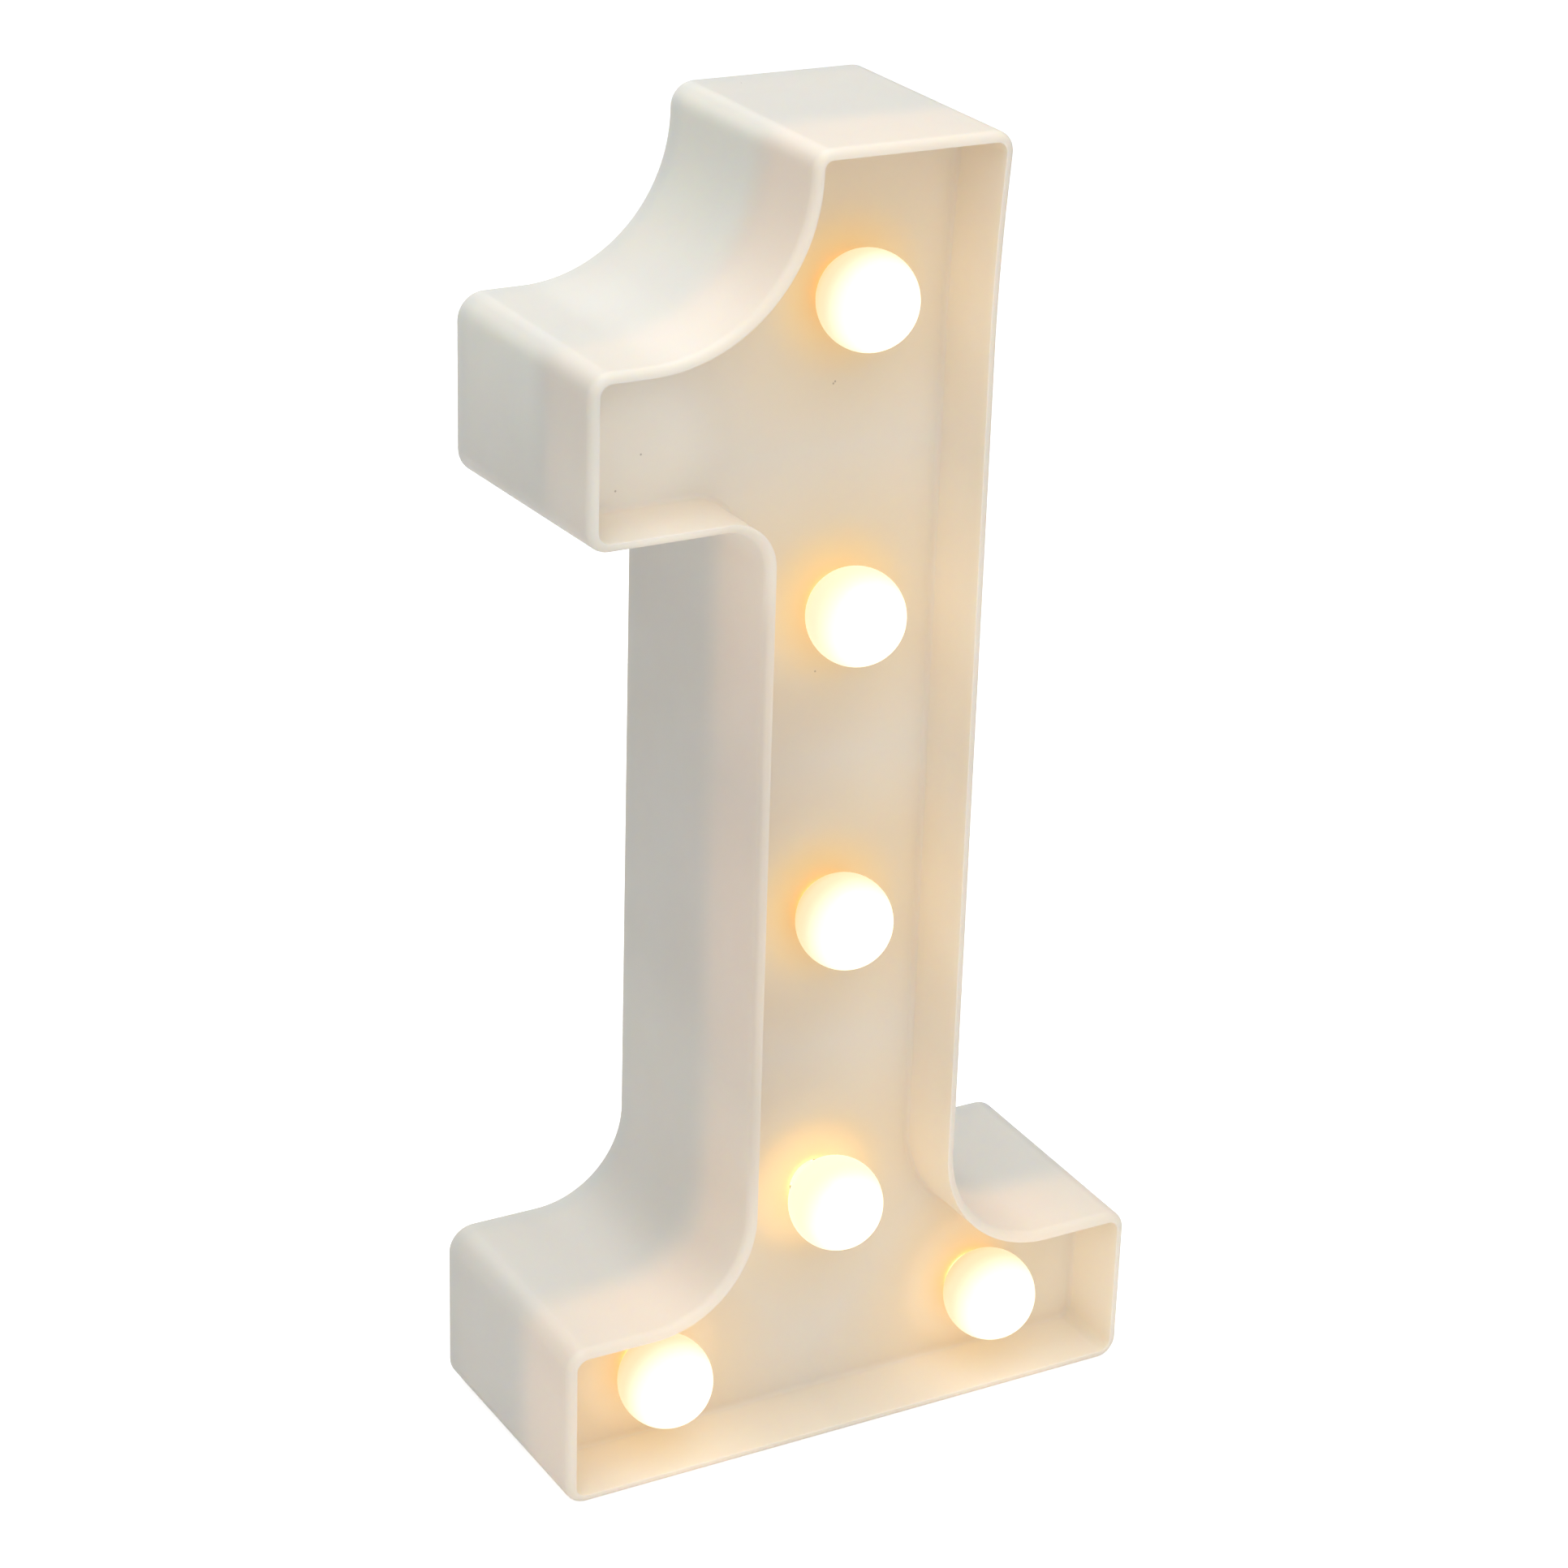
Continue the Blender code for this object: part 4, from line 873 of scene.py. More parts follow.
bpy.ops.mesh.primitive_uv_sphere_add(segments=64, ring_count=48, radius=thumb_radius,
                                     location=(stem_x, back_y + thumb_radius - thumb_depth,
                                               seat_high))
thumb = bpy.context.object
bpy.ops.object.transform_apply()
cut(cover, thumb)
cut_block(cover, "switch_pocket", span(switch_x, slot_half + pocket_margin),
          (back_y - pocket_depth, back_y + over), span(switch_z, slot_rise + pocket_margin),
          pocket_corner)
cut_block(cover, "switch_slot", span(switch_x, slot_half), (cover_inner - over, back_y),
          span(switch_z, slot_rise), slot_corner)
ears = [Vector((x, 0, switch_z)) for x in span(switch_x, ear_reach)]
join(cover, rods("switch_posts", ears, ear_post, cover_inner - ear_post_reach,
                 cover_inner + bite, 24))
keyhole = [Vector((stem_x, 0, keyhole_z))]
cut(cover, rods("keyhole_entry", keyhole, keyhole_entry, cover_inner - over, back_y + over, 64))
cut_block(cover, "keyhole_slot", span(stem_x, keyhole_slot), (cover_inner - over, back_y + over),
          (keyhole_z, keyhole_z + keyhole_rise + keyhole_slot), keyhole_slot * nearly_round, 1, 12)
cut(cover, rods("screw_holes", screw_places, shank_radius + fit_gap, cover_inner - over,
                back_y, 32))
sink = fit_gap + head_rim
cut(cover, rods("countersinks", screw_places, shank_radius + fit_gap,
                back_y - sink - head_height + head_rim, back_y - sink, 48,
                head_radius + fit_gap))
cut(cover, rods("head_rooms", screw_places, head_radius + fit_gap,
                back_y - sink - head_lead, back_y + over, 48))
posts = [Vector((x, 0, board_z)) for x in span(board_x, board_post_spread)]
join(cover, rods("board_posts", posts, board_post, cover_inner - board_post_reach,
                 cover_inner + bite, 24))
edit(cover)
pick_all()
bpy.ops.mesh.fill_holes(sides=8)
round_outline(back_y, lip_break, 2)
stop_editing()

black_plastic = moulded_plastic("black_nylon", (0.022, 0.022, 0.023), (0.032, 0.031, 0.030),
                                0.42)[0]
for word, x in (("ON", switch_x + slot_half + pocket_margin + on_gap),
                ("OFF", switch_x - slot_half - pocket_margin - off_gap)):
    for use, middle, half in (("ink", back_y - letter_depth + ink_depth / 2, ink_depth / 2),
                              ("sunk", back_y, letter_depth)):
        bpy.ops.object.text_add(location=(x, middle, switch_z - letter_size / 3),
                                rotation=(math.radians(90), 0, math.radians(180)))
        letters = bpy.context.object
        letters.data.body, letters.data.size, letters.data.extrude = word, letter_size, half
        letters.data.align_x, letters.data.resolution_u = "CENTER", 3
        if use == "ink":
            letters.data.offset = -ink_shrink
        bpy.ops.object.convert(target="MESH")
        bpy.ops.object.transform_apply()
        letters = bpy.context.object
        if use == "sunk":
            cut(cover, letters)
            continue
        letters.name = letters.data.name = f"ink_{word.lower()}"
        bpy.ops.object.mode_set(mode="EDIT")
        pick_all()
        bpy.ops.mesh.remove_doubles(threshold=weld)
        stop_editing()
        hand_over(letters, "housing", "black_plastic", black_plastic)
smooth_faces(cover)
hand_over(cover, "housing", "shell_plastic", shell_plastic, "back_cover")

# Cover screws. Six countersunk self-tapping screws in zinc-plated steel, cross slotted,
# driven into the bosses behind the lamp floor.
screw_length, thread_start, thread_pitch, thread_count = 0.0100, 0.0019, 0.0009, 7
core_radius, tip_radius, neck_run, head_break = 0.00092, 0.00015, 0.0003, 0.0001
crest_from, crest_to, root_from = 0.35, 0.45, 0.8
slot_length, slot_width, slot_depth, slot_over = 0.0038, 0.00078, 0.0011, 0.0005
slot_taper, head_turns = (0.45, 1, 0.6), (12, 57, 33, 80, 5, 66)


def turned(name, profile, sides=48):
    """A round piece along the depth: a ring carried through radius and depth stops."""
    (radius, depth), rest = profile[0], profile[1:]
    bpy.ops.mesh.primitive_circle_add(vertices=sides, radius=radius, fill_type="NOTHING",
                                      location=(0, depth, 0), rotation=(math.radians(90), 0, 0))
    piece = begin(name)
    bpy.ops.mesh.select_mode(type="EDGE")
    pick_all()
    bpy.ops.mesh.edge_face_add()
    bpy.ops.mesh.region_to_loop()
    for next_radius, next_depth in rest:
        ring_step(radius, next_radius, next_depth - depth)
        radius, depth = next_radius, next_depth
    bpy.ops.mesh.edge_face_add()
    turn_outward()
    stop_editing()
    return piece


profile = [(head_radius - head_break, 0), (head_radius, -head_break), (head_radius, -head_rim),
           (shank_radius, -head_height), (core_radius, -head_height - neck_run)]
for i in range(thread_count):
    start = thread_start + i * thread_pitch
    profile += [(core_radius, -start), (shank_radius, -start - thread_pitch * crest_from),
                (shank_radius, -start - thread_pitch * crest_to),
                (core_radius, -start - thread_pitch * root_from)]
profile += [(tip_radius, -screw_length)]
screw = turned("screw", profile, 40)
for turn in (0, 90):
    blade = block("blade", (-slot_length / 2, -slot_depth, -slot_width / 2),
                  (slot_length / 2, slot_over, slot_width / 2))
    edit(blade)
    pick("VERT", lambda p: at(p.y, -slot_depth))
    bpy.ops.transform.resize(value=slot_taper)
    stop_editing()
    blade.rotation_euler = (0, math.radians(turn), 0)
    bpy.ops.object.transform_apply()
    cut(screw, blade)
smooth_faces(screw)
zinc = metal("zinc_plate", (0.72, 0.72, 0.70), (0.55, 0.55, 0.53), 0.32)
for i, (place, turn) in enumerate(zip(screw_places, head_turns), 1):
    hand_over(repeat(screw, f"screw_{i}", (place.x, back_y - fit_gap, place.z), math.radians(turn)),
              "housing", "zinc", zinc, f"cover_screw_{i}")
throw_away(screw)

# Battery door. Moulded in the tray's plastic: a plate with a round hinge edge and two
# tabs at its foot, a springy latch tongue at its top, and finger grooves with an arrow.
door_width, door_thickness, door_top = 0.0328, 0.0018, 0.134089
door_corner, door_break, tab_corner = 0.0005, 0.0002, 0.0003
hinge_y = back_y - door_thickness / 2
tab_width, tab_outer, tab_inner, tab_reach = 0.0060, -0.00145, -0.00265, 0.0032
tab_riser_low, tab_riser_high = 0.0005, 0.0015
latch_width, latch_thickness, latch_inner, latch_ridge = 0.0100, 0.0012, -0.0051, 0.00025
ridge_height, tongue_top = 0.0008, 0.133689
groove_count, groove_width, groove_depth, groove_pitch = 4, 0.0140, 0.0006, 0.0024
groove_round, arrow_radius, arrow_depth, arrow_corner, arrow_steps = 0.95, 0.0021, 0.0006, 0.0003, 7

door_inner = back_y - door_thickness
door_foot = hinge_z - door_thickness / 2
door = block("door_panel", (stem_x - door_width / 2, door_inner, door_foot),
             (stem_x + door_width / 2, back_y, door_top))
edit(door)
pick_along(1, lambda p: at(p.z, door_top))
round_edges(door_corner, 4)
pick_along(0, lambda p: at(p.z, door_foot))
round_edges(door_thickness / 2 - near, 8)
round_outline(back_y, door_break, 3)
stop_editing()
for middle in span(stem_x, tab_spread / 2):
    join_block(door, "tab_riser", span(middle, tab_width / 2),
               (hinge_y + tab_inner, door_inner + bite),
               (hinge_z - tab_riser_low, hinge_z + tab_riser_high), tab_corner, 0, 3)
    join_block(door, "tab", span(middle, tab_width / 2),
               (hinge_y + tab_inner, hinge_y + tab_outer),
               (hinge_z - tab_reach, hinge_z + tab_riser_high), tab_corner, 0, 3)
tongue = block("latch_tongue",
               (stem_x - latch_width / 2, hinge_y + latch_inner, tongue_top - latch_thickness),
               (stem_x + latch_width / 2, door_inner + bite, tongue_top))
edit(tongue)
for rise in (ridge_height / 2, ridge_height):
    pick_all()
    bpy.ops.mesh.bisect(plane_co=(0, hinge_y + latch_inner + rise, 0), plane_no=(0, 1, 0))
pick("VERT", lambda p: at(p.z, tongue_top) and at(p.y, hinge_y + latch_inner + ridge_height / 2))
slide(0, 0, latch_ridge)
stop_editing()
join(door, tongue)
for i in range(groove_count):
    z = door_top - (i + 2) * groove_pitch
    cut_block(door, "groove", span(stem_x, groove_width / 2),
              (back_y - groove_depth, back_y + over), span(z, groove_pitch / 4),
              groove_pitch / 4 * groove_round, 1, 6)
bpy.ops.mesh.primitive_cylinder_add(
    vertices=3, radius=arrow_radius, depth=arrow_depth,
    location=(stem_x, back_y, door_top - arrow_steps * groove_pitch),
    rotation=(math.radians(90), math.radians(180), 0))
arrow = begin("arrow")
pick_along(1, lambda p: True)
round_edges(arrow_corner, 3)
stop_editing()
cut(door, arrow)
smooth_faces(door)
hand_over(door, "battery_door", "shell_plastic", shell_plastic, "battery_door")

# Slide switch. A black moulded case with two ears on the cover's posts, three brass pins
# to solder to, and a ribbed slider that the thumb moves through the slot.
shoe_length, shoe_height, shoe_thickness = 0.0056, 0.0052, 0.0024
knob_length, knob_height, knob_top, knob_valley = 0.0040, 0.0038, 0.0002, 0.0006
shoe_corner, knob_corner, valley_corner, knob_break = 0.0004, 0.0003, 0.00028, 0.0001
case_depth, case_wall, case_corner = 0.0055, 0.0012, 0.0004
track_corner, case_break = 0.0002, 0.00012
ear_length, ear_thickness, ear_step, ear_drop, ear_corner = 0.0044, 0.0014, 0.0006, 0.0002, 0.0012
pin_pitch, pin_side, pin_length, pin_break, pin_tip = 0.0030, 0.0007, 0.0036, 0.0001, 0.6
case_face = cover_inner - fit_gap
case_half = (shoe_length + travel) / 2 + fit_gap + case_wall
case_rise = shoe_height / 2 + fit_gap + case_wall

case = block("switch_case", (switch_x - case_half, case_face - case_depth, switch_z - case_rise),
             (switch_x + case_half, case_face, switch_z + case_rise), case_corner)
join_block(case, "ears", span(switch_x, case_half + ear_length),
           (case_face - ear_thickness, case_face - ear_drop), span(switch_z, case_rise - ear_step),
           ear_corner)
cut_block(case, "track", span(switch_x, case_half - case_wall),
          (case_face - shoe_thickness - 2 * fit_gap, case_face + over),
          span(switch_z, case_rise - case_wall), track_corner)
cut(case, rods("ear_holes", ears, ear_post + fit_gap, case_face - 2 * ear_thickness,
               case_face + over, 24))
soften(case, case_break)
hand_over(case, "housing", "black_plastic", black_plastic, "switch_body")

home = switch_x + travel / 2
slider = block("switch_knob", (home - shoe_length / 2, case_face - shoe_thickness - fit_gap,
                               switch_z - shoe_height / 2),
               (home + shoe_length / 2, case_face - fit_gap, switch_z + shoe_height / 2),
               shoe_corner)
join_block(slider, "knob", span(home, knob_length / 2),
           (case_face - fit_gap - bite, back_y - knob_top), span(switch_z, knob_height / 2),
           knob_corner)
for middle in (home - knob_length / 3, home, home + knob_length / 3):
    cut_block(slider, "valley", span(middle, knob_valley / 2),
              (back_y - knob_top - knob_valley, back_y), span(switch_z, knob_height),
              valley_corner, 2, 4)
soften(slider, knob_break)
hand_over(slider, "switch_slider", "black_plastic", black_plastic, "switch_slider")

brass = metal("brass", (0.80, 0.60, 0.28), (0.62, 0.42, 0.20), 0.28)
pin_end = case_face - case_depth - fit_gap - pin_length
pin = block("pin", (-pin_side / 2, 0, -pin_side / 2), (pin_side / 2, pin_length, pin_side / 2),
            pin_break, 1, 2)
edit(pin)
pick("FACE", lambda p: at(p.y, 0))
bpy.ops.transform.resize(value=(pin_tip, 1, pin_tip))
stop_editing()
smooth_faces(pin)
for i in range(3):
    hand_over(repeat(pin, f"terminal_{i + 1}", (switch_x + (i - 1) * pin_pitch, pin_end, switch_z)),
              "housing", "brass", brass, f"switch_pin_{i + 1}")
throw_away(pin)

# Cells. Two AA cells, one each way up: a steel can in a printed dark sleeve with a pale
# band and polarity marks, rolled ends, a crimped cap with its nub, and a flat base.
cell_radius, cell_length, cell_break = 0.0071, 0.0502, 0.0006
cell_low, cell_high = 0.077389, 0.124589
base_radius, base_run, base_dish, base_step, base_groove = 0.0057, 0.0012, 0.0002, 0.0003, 0.0004
cap_radius, crimp, roll_drop = 0.0053, 0.0004, 0.0001
nub_radius, nub_height, nub_flare, nub_root, nub_round = 0.00275, 0.0012, 0.0005, 0.0002, 0.0003
cell_band, band_edge, cell_parting, mark_edge = 0.0105, 0.00005, 0.0001, 0.00004
mark_half, mark_line, mark_inset = 0.0021, 0.00042, 0.0058
sleeve_dark, sleeve_worn = (0.045, 0.055, 0.075), (0.065, 0.075, 0.095)
dark_ink = (0.05, 0.05, 0.06)
band_pale, band_worn = (0.62, 0.60, 0.55), (0.70, 0.68, 0.62)

cell = turned("cell", [
    (base_radius - base_run, base_dish), (base_radius, 0.0),
    (base_radius + base_step, base_groove), (cell_radius - cell_break, roll_drop),
    (cell_radius, cell_break), (cell_radius, cell_length - cell_break),
    (cell_radius - cell_break / 2, cell_length - cell_break / 4),
    (cell_radius - cell_break, cell_length), (cap_radius + crimp, cell_length - crimp),
    (cap_radius, cell_length - crimp), (nub_radius + nub_flare, cell_length - nub_root),
    (nub_radius, cell_length + nub_root), (nub_radius, cell_length + nub_height - nub_round),
    (nub_radius - nub_round, cell_length + nub_height)], 64)
smooth_faces(cell)
sleeve, tree, shader = blank_material("cell_sleeve", sleeve_dark, 0.30)
cans = metal("cell_can", (0.74, 0.74, 0.73), (0.60, 0.60, 0.58), 0.24)
place = object_place(tree)
apart = split(tree, place)
print_noise = noise(tree, place, Scale=1500.0, Detail=3.0)


def size_off(tree, value, middle):
    """How far a value lies from a middle, either way."""
    return maths(tree, "ABSOLUTE", maths(tree, "SUBTRACT", value, middle))


dark = mixed(tree, print_noise, sleeve_dark, sleeve_worn)
pale = mixed(tree, print_noise, band_pale, band_worn)
printed = [mixed(tree, ramped(tree, apart["Z"], edge, edge + way * band_edge), dark, pale)
           for edge, way in ((cell_low + cell_length - cell_band, 1),
                             (cell_high - cell_length + cell_band, -1))]
right_hand = ramped(tree, apart["X"], *span(stem_x, cell_parting))
sleeve_colour = mixed(tree, right_hand, *printed)
plus_places = ((left_cell, cell_low + cell_length - mark_inset),
               (right_cell, cell_high - cell_length + mark_inset))
minus_places = ((left_cell, cell_low + mark_inset), (right_cell, cell_high - mark_inset))
for places, wide, tall, ink in ((plus_places, mark_half, mark_line, dark_ink),
                                (plus_places, mark_line, mark_half, dark_ink),
                                (minus_places, mark_half, mark_line, band_pale)):
    for x, z in places:
        bar = [ramped(tree, size_off(tree, apart[axis], middle), half + mark_edge,
                      half - mark_edge) for axis, middle, half in (("X", x, wide), ("Z", z, tall))]
        sleeve_colour = mixed(tree, product(tree, *bar), sleeve_colour, ink)
feed(tree, shader, Base_Color=sleeve_colour, Coat_Weight=0.4)
for i, (x, foot, toward) in enumerate(((left_cell, cell_low, 1), (right_cell, cell_high, -1)), 1):
    made = repeat(cell, f"cell_{i}", (x, cell_y, foot), math.radians(90) * toward, (1, 0, 0))
    hand_over(made, "housing", "cell_sleeve", sleeve, f"battery_{i}")
    made.data.materials.append(cans)
    edit(made)
    top = foot + toward * (cell_length - cell_break / 2)
    bottom = foot + toward * cell_break / 2
    pick("FACE", lambda p: (p.z - top) * toward > 0 or (p.z - bottom) * toward < 0)
    made.active_material_index = 1
    bpy.ops.object.material_slot_assign()
    stop_editing()
throw_away(cell)

# Contacts and springs. Stamped, nickel-plated spring steel: a bridge at the foot of the
# well joins the two cells, two tailed plates stand at its top, and a conical spring
# presses on each cell's flat base.
plate_deep, plate_wide, plate_thickness = 0.0088, 0.0098, 0.0005
plate_corner, plate_break = 0.0008, 0.0001
tail_wide, tail_reach, tail_corner = 0.0020, 0.0040, 0.00015
tail_hole_half, tail_hole_low, tail_hole_high, tail_hole_corner = 0.0004, 0.0016, 0.0008, 0.00035
spring_wire, spring_wide, spring_narrow = 0.00035, 0.0040, 0.0022
spring_height, spring_turns, turn_steps = 0.0039, 3, 24


def wire(name, points, radius, sides=2):
    """A round wire through the given points, made a mesh."""
    curve = bpy.data.curves.new(name, "CURVE")
    curve.dimensions = "3D"
    curve.bevel_depth = radius
    curve.bevel_resolution = sides
    curve.use_fill_caps = True
    spline = curve.splines.new("POLY")
    spline.points.add(len(points) - 1)
    for point, target in zip(spline.points, points):
        point.co = (*target, 1.0)
    made = bpy.data.objects.new(name, curve)
    bpy.context.scene.collection.objects.link(made)
    alone(made)
    bpy.ops.object.convert(target="MESH")
    made = bpy.context.object
    bpy.ops.object.mode_set(mode="EDIT")
    pick_all()
    bpy.ops.mesh.remove_doubles(threshold=weld)
    bpy.ops.mesh.normals_make_consistent(inside=False)
    stop_editing()
    smooth_faces(made, 50)
    return made


def contact_plate(name, centre, low, half_wide, tail_top=None):
    """A stamped plate across the well, with a soldering tail if it has a top."""
    plate = block(name, (centre - half_wide, cell_y - plate_deep / 2, low),
                  (centre + half_wide, cell_y + plate_deep / 2, low + plate_thickness),
                  plate_corner, 2)
    if tail_top:
        join_block(plate, "tail", span(centre, tail_wide / 2), span(cell_y, plate_thickness / 2),
                   (low + plate_thickness / 2, tail_top), tail_corner, 1, 2)
        cut_block(plate, "tail_hole", span(centre, tail_hole_half), span(cell_y, over),
                  (tail_top - tail_hole_low, tail_top - tail_hole_high), tail_hole_corner, 1, 4)
    soften(plate, plate_break)
    return plate


bridge = contact_plate("bridge_plate", stem_x, well_low + fit_gap, cell_pitch / 2 + plate_wide / 2)
hand_over(bridge, "housing", "plated_steel", plated_steel, "contact_bridge")
for name, centre, stands_for in (("positive_plate", left_cell, "contact_positive"),
                                 ("negative_plate", right_cell, "contact_negative")):
    plate = contact_plate(name, centre, well_high - fit_gap - plate_thickness, plate_wide / 2,
                          well_high + well_wall + tail_reach)
    hand_over(plate, "housing", "plated_steel", plated_steel, stands_for)

turns = []
for i in range(spring_turns * turn_steps + 1):
    share = i / (spring_turns * turn_steps)
    radius = spring_wide + (spring_narrow - spring_wide) * share
    angle = 2 * math.pi * spring_turns * share
    turns.append(Vector((radius * math.cos(angle), radius * math.sin(angle),
                         spring_wire + share * (spring_height - 2 * spring_wire))))
spring = wire("spring", turns, spring_wire, 3)
low = well_low + 2 * fit_gap + plate_thickness
high = well_high - 2 * fit_gap - plate_thickness
hand_over(repeat(spring, "lower_spring", (left_cell, cell_y, low)), "housing", "plated_steel",
          plated_steel, "spring_lower")
hand_over(repeat(spring, "upper_spring", (right_cell, cell_y, high), math.radians(180), (1, 0, 0)),
          "housing", "plated_steel", plated_steel, "spring_upper")
throw_away(spring)

# Circuit board and resistor. A small fibreglass board on two moulded posts, with pads of
# tinned copper, and the carbon film resistor that sets the current of the diodes.
board_half, board_tall, board_thickness = 0.0080, 0.0100, 0.0012
board_corner, board_break, pad_radius, pad_bore, pad_edge = 0.0005, 0.0001, 0.0009, 0.00028, 0.00004
lacquer_green, lacquer_light = (0.055, 0.22, 0.09), (0.09, 0.30, 0.13)
solder_tin, board_gloss = (0.72, 0.70, 0.66), (0.25, 0.42)
resistor_radius, resistor_half, resistor_waist, resistor_cap = 0.0011, 0.0031, 0.0009, 0.0011
end_share, shoulder_share, shoulder_run, cap_run = 0.8, 0.95, 0.00015, 0.0005
paint_tan, paint_dark, band_from, band_to = (0.72, 0.60, 0.40), (0.66, 0.53, 0.34), 0.00028, 0.00022
paint_bands = ((-0.0021, (0.30, 0.12, 0.04)), (-0.0009, (0.02, 0.02, 0.02)),
               (0.0001, (0.02, 0.02, 0.02)), (0.0021, (0.60, 0.42, 0.12)))
leg_wire, leg_root, leg_straight, leg_dip = 0.00022, 0.0003, 0.0005, 0.0002
leg_bend, leg_hole, leg_end = 0.0039, 0.0040, 0.0001
board_face = cover_inner - board_post_reach - fit_gap

board = block("board",
              (board_x - board_half, board_face - board_thickness, board_z - board_tall / 2),
              (board_x + board_half, board_face, board_z + board_tall / 2), board_corner)
pads = [Vector((board_x + x, 0, board_z + z)) for x, z in
        ((-0.0068, -0.0036), (-0.0040, -0.0036), (0.0040, -0.0036), (0.0066, -0.0036),
         (-0.0040, 0.0036), (0.0000, 0.0036), (0.0066, 0.0036), (-0.0040, 0), (0.0040, 0))]
cut(board, rods("pad_holes", pads, pad_bore, board_face - 2 * board_thickness,
                board_face + over, 16))
soften(board, board_break)
board_resin, tree, shader = blank_material("board_resin", lacquer_green, 0.45)
nearest = placed(tree, nearest_place("pad_distance", pads))["Distance"]
tinned = ramped(tree, nearest, pad_radius + pad_edge, pad_radius - pad_edge)
weave = noise(tree, object_place(tree), Scale=2600.0, Detail=2.0)
lacquer = mixed(tree, weave, lacquer_green, lacquer_light)
feed(tree, shader, Base_Color=mixed(tree, tinned, lacquer, solder_tin), Metallic=tinned,
     Roughness=ramped(tree, nearest, *span(pad_radius, pad_edge), *board_gloss))
hand_over(board, "housing", "board_resin", board_resin, "circuit_board")

end = [(resistor_waist * end_share, 0), (resistor_radius * shoulder_share, shoulder_run),
       (resistor_radius, cap_run), (resistor_radius, resistor_cap),
       (resistor_waist, resistor_cap + cap_run)]
profile = end + [(radius, 2 * resistor_half - run) for radius, run in reversed(end)]
resistor_y = board_face - board_thickness - fit_gap - resistor_radius
master = turned("resistor", profile, 32)
smooth_faces(master, 50)
resistor = repeat(master, "resistor_body", (board_x + resistor_half, resistor_y, board_z),
                  math.radians(90), (0, 0, 1))
throw_away(master)
resistor_paint, tree, shader = blank_material("resistor_paint", paint_tan, 0.35)
place = object_place(tree)
paint = mixed(tree, noise(tree, place, Scale=4000.0), paint_tan, paint_dark)
for shift, band in paint_bands:
    width = size_off(tree, split(tree, place)["X"], board_x + shift)
    paint = mixed(tree, ramped(tree, width, band_from, band_to), paint, band)
feed(tree, shader, Base_Color=paint)
hand_over(resistor, "housing", "resistor_body", resistor_paint, "resistor")
for side in (-1, 1):
    leg = wire(f"resistor_leg_{1 if side < 0 else 2}", [
        (board_x + side * (resistor_half - leg_root), resistor_y, board_z),
        (board_x + side * (resistor_half + leg_straight), resistor_y, board_z),
        (board_x + side * leg_bend, resistor_y + leg_dip, board_z),
        (board_x + side * leg_hole, resistor_y + leg_straight, board_z),
        (board_x + side * leg_hole, board_face - leg_end, board_z)], leg_wire)
    hand_over(leg, "housing", "plated_steel", plated_steel)

# Leads. Thin stranded copper in red and black PVC: two runs along the base and up the
# stem join the diodes, and short ones go from the cells by the switch to the board.
lead_radius, lead_tail, lead_hump, lead_samples = 0.00055, 0.0030, 0.0020, 6
marks_spread, lead_gloss = (0.35, 0.7), (0.36, 0.52)
neck_tail = globe_y + neck_end - floor_back
lead_reach = leg_pitch / 2 + leg_side / 2 + fit_gap + lead_radius
run_y = floor_back + neck_tail + fit_gap + lead_radius
lead_step = 2 * lead_radius + fit_gap
top_z = lamp_places[0].z + lead_tail
upper_z, lower_z = lamp_places[4].z + lead_reach, lamp_places[4].z - lead_reach


def smooth_route(route):
    """Points on a smooth curve through the stops of a route."""
    stops = [Vector(stop) for stop in route]
    ends = [2 * stops[0] - stops[1]] + stops + [2 * stops[-1] - stops[-2]]
    points = []
    for a, b, c, d in zip(ends, ends[1:], ends[2:], ends[3:]):
        for step in range(lead_samples):
            t = step / lead_samples
            points.append((2 * b + (c - a) * t + (2 * a - 5 * b + 4 * c - d) * t * t
                           + (3 * b - a - 3 * c + d) * t * t * t) / 2)
    return points + [stops[-1]]


def insulation(name, colour, worn):
    """PVC insulation: soft gloss with handling marks."""
    material, tree, shader = blank_material(name, colour, 0.42)
    marks = noise(tree, object_place(tree), Scale=900.0, Detail=3.0)
    feed(tree, shader,
         Base_Color=mixed(tree, ramped(tree, marks, *marks_spread), colour, worn),
         Roughness=ramped(tree, marks, *gloss_spread, *lead_gloss))
    bumped(tree, shader, marks, 0.15, 0.00002)
    return material


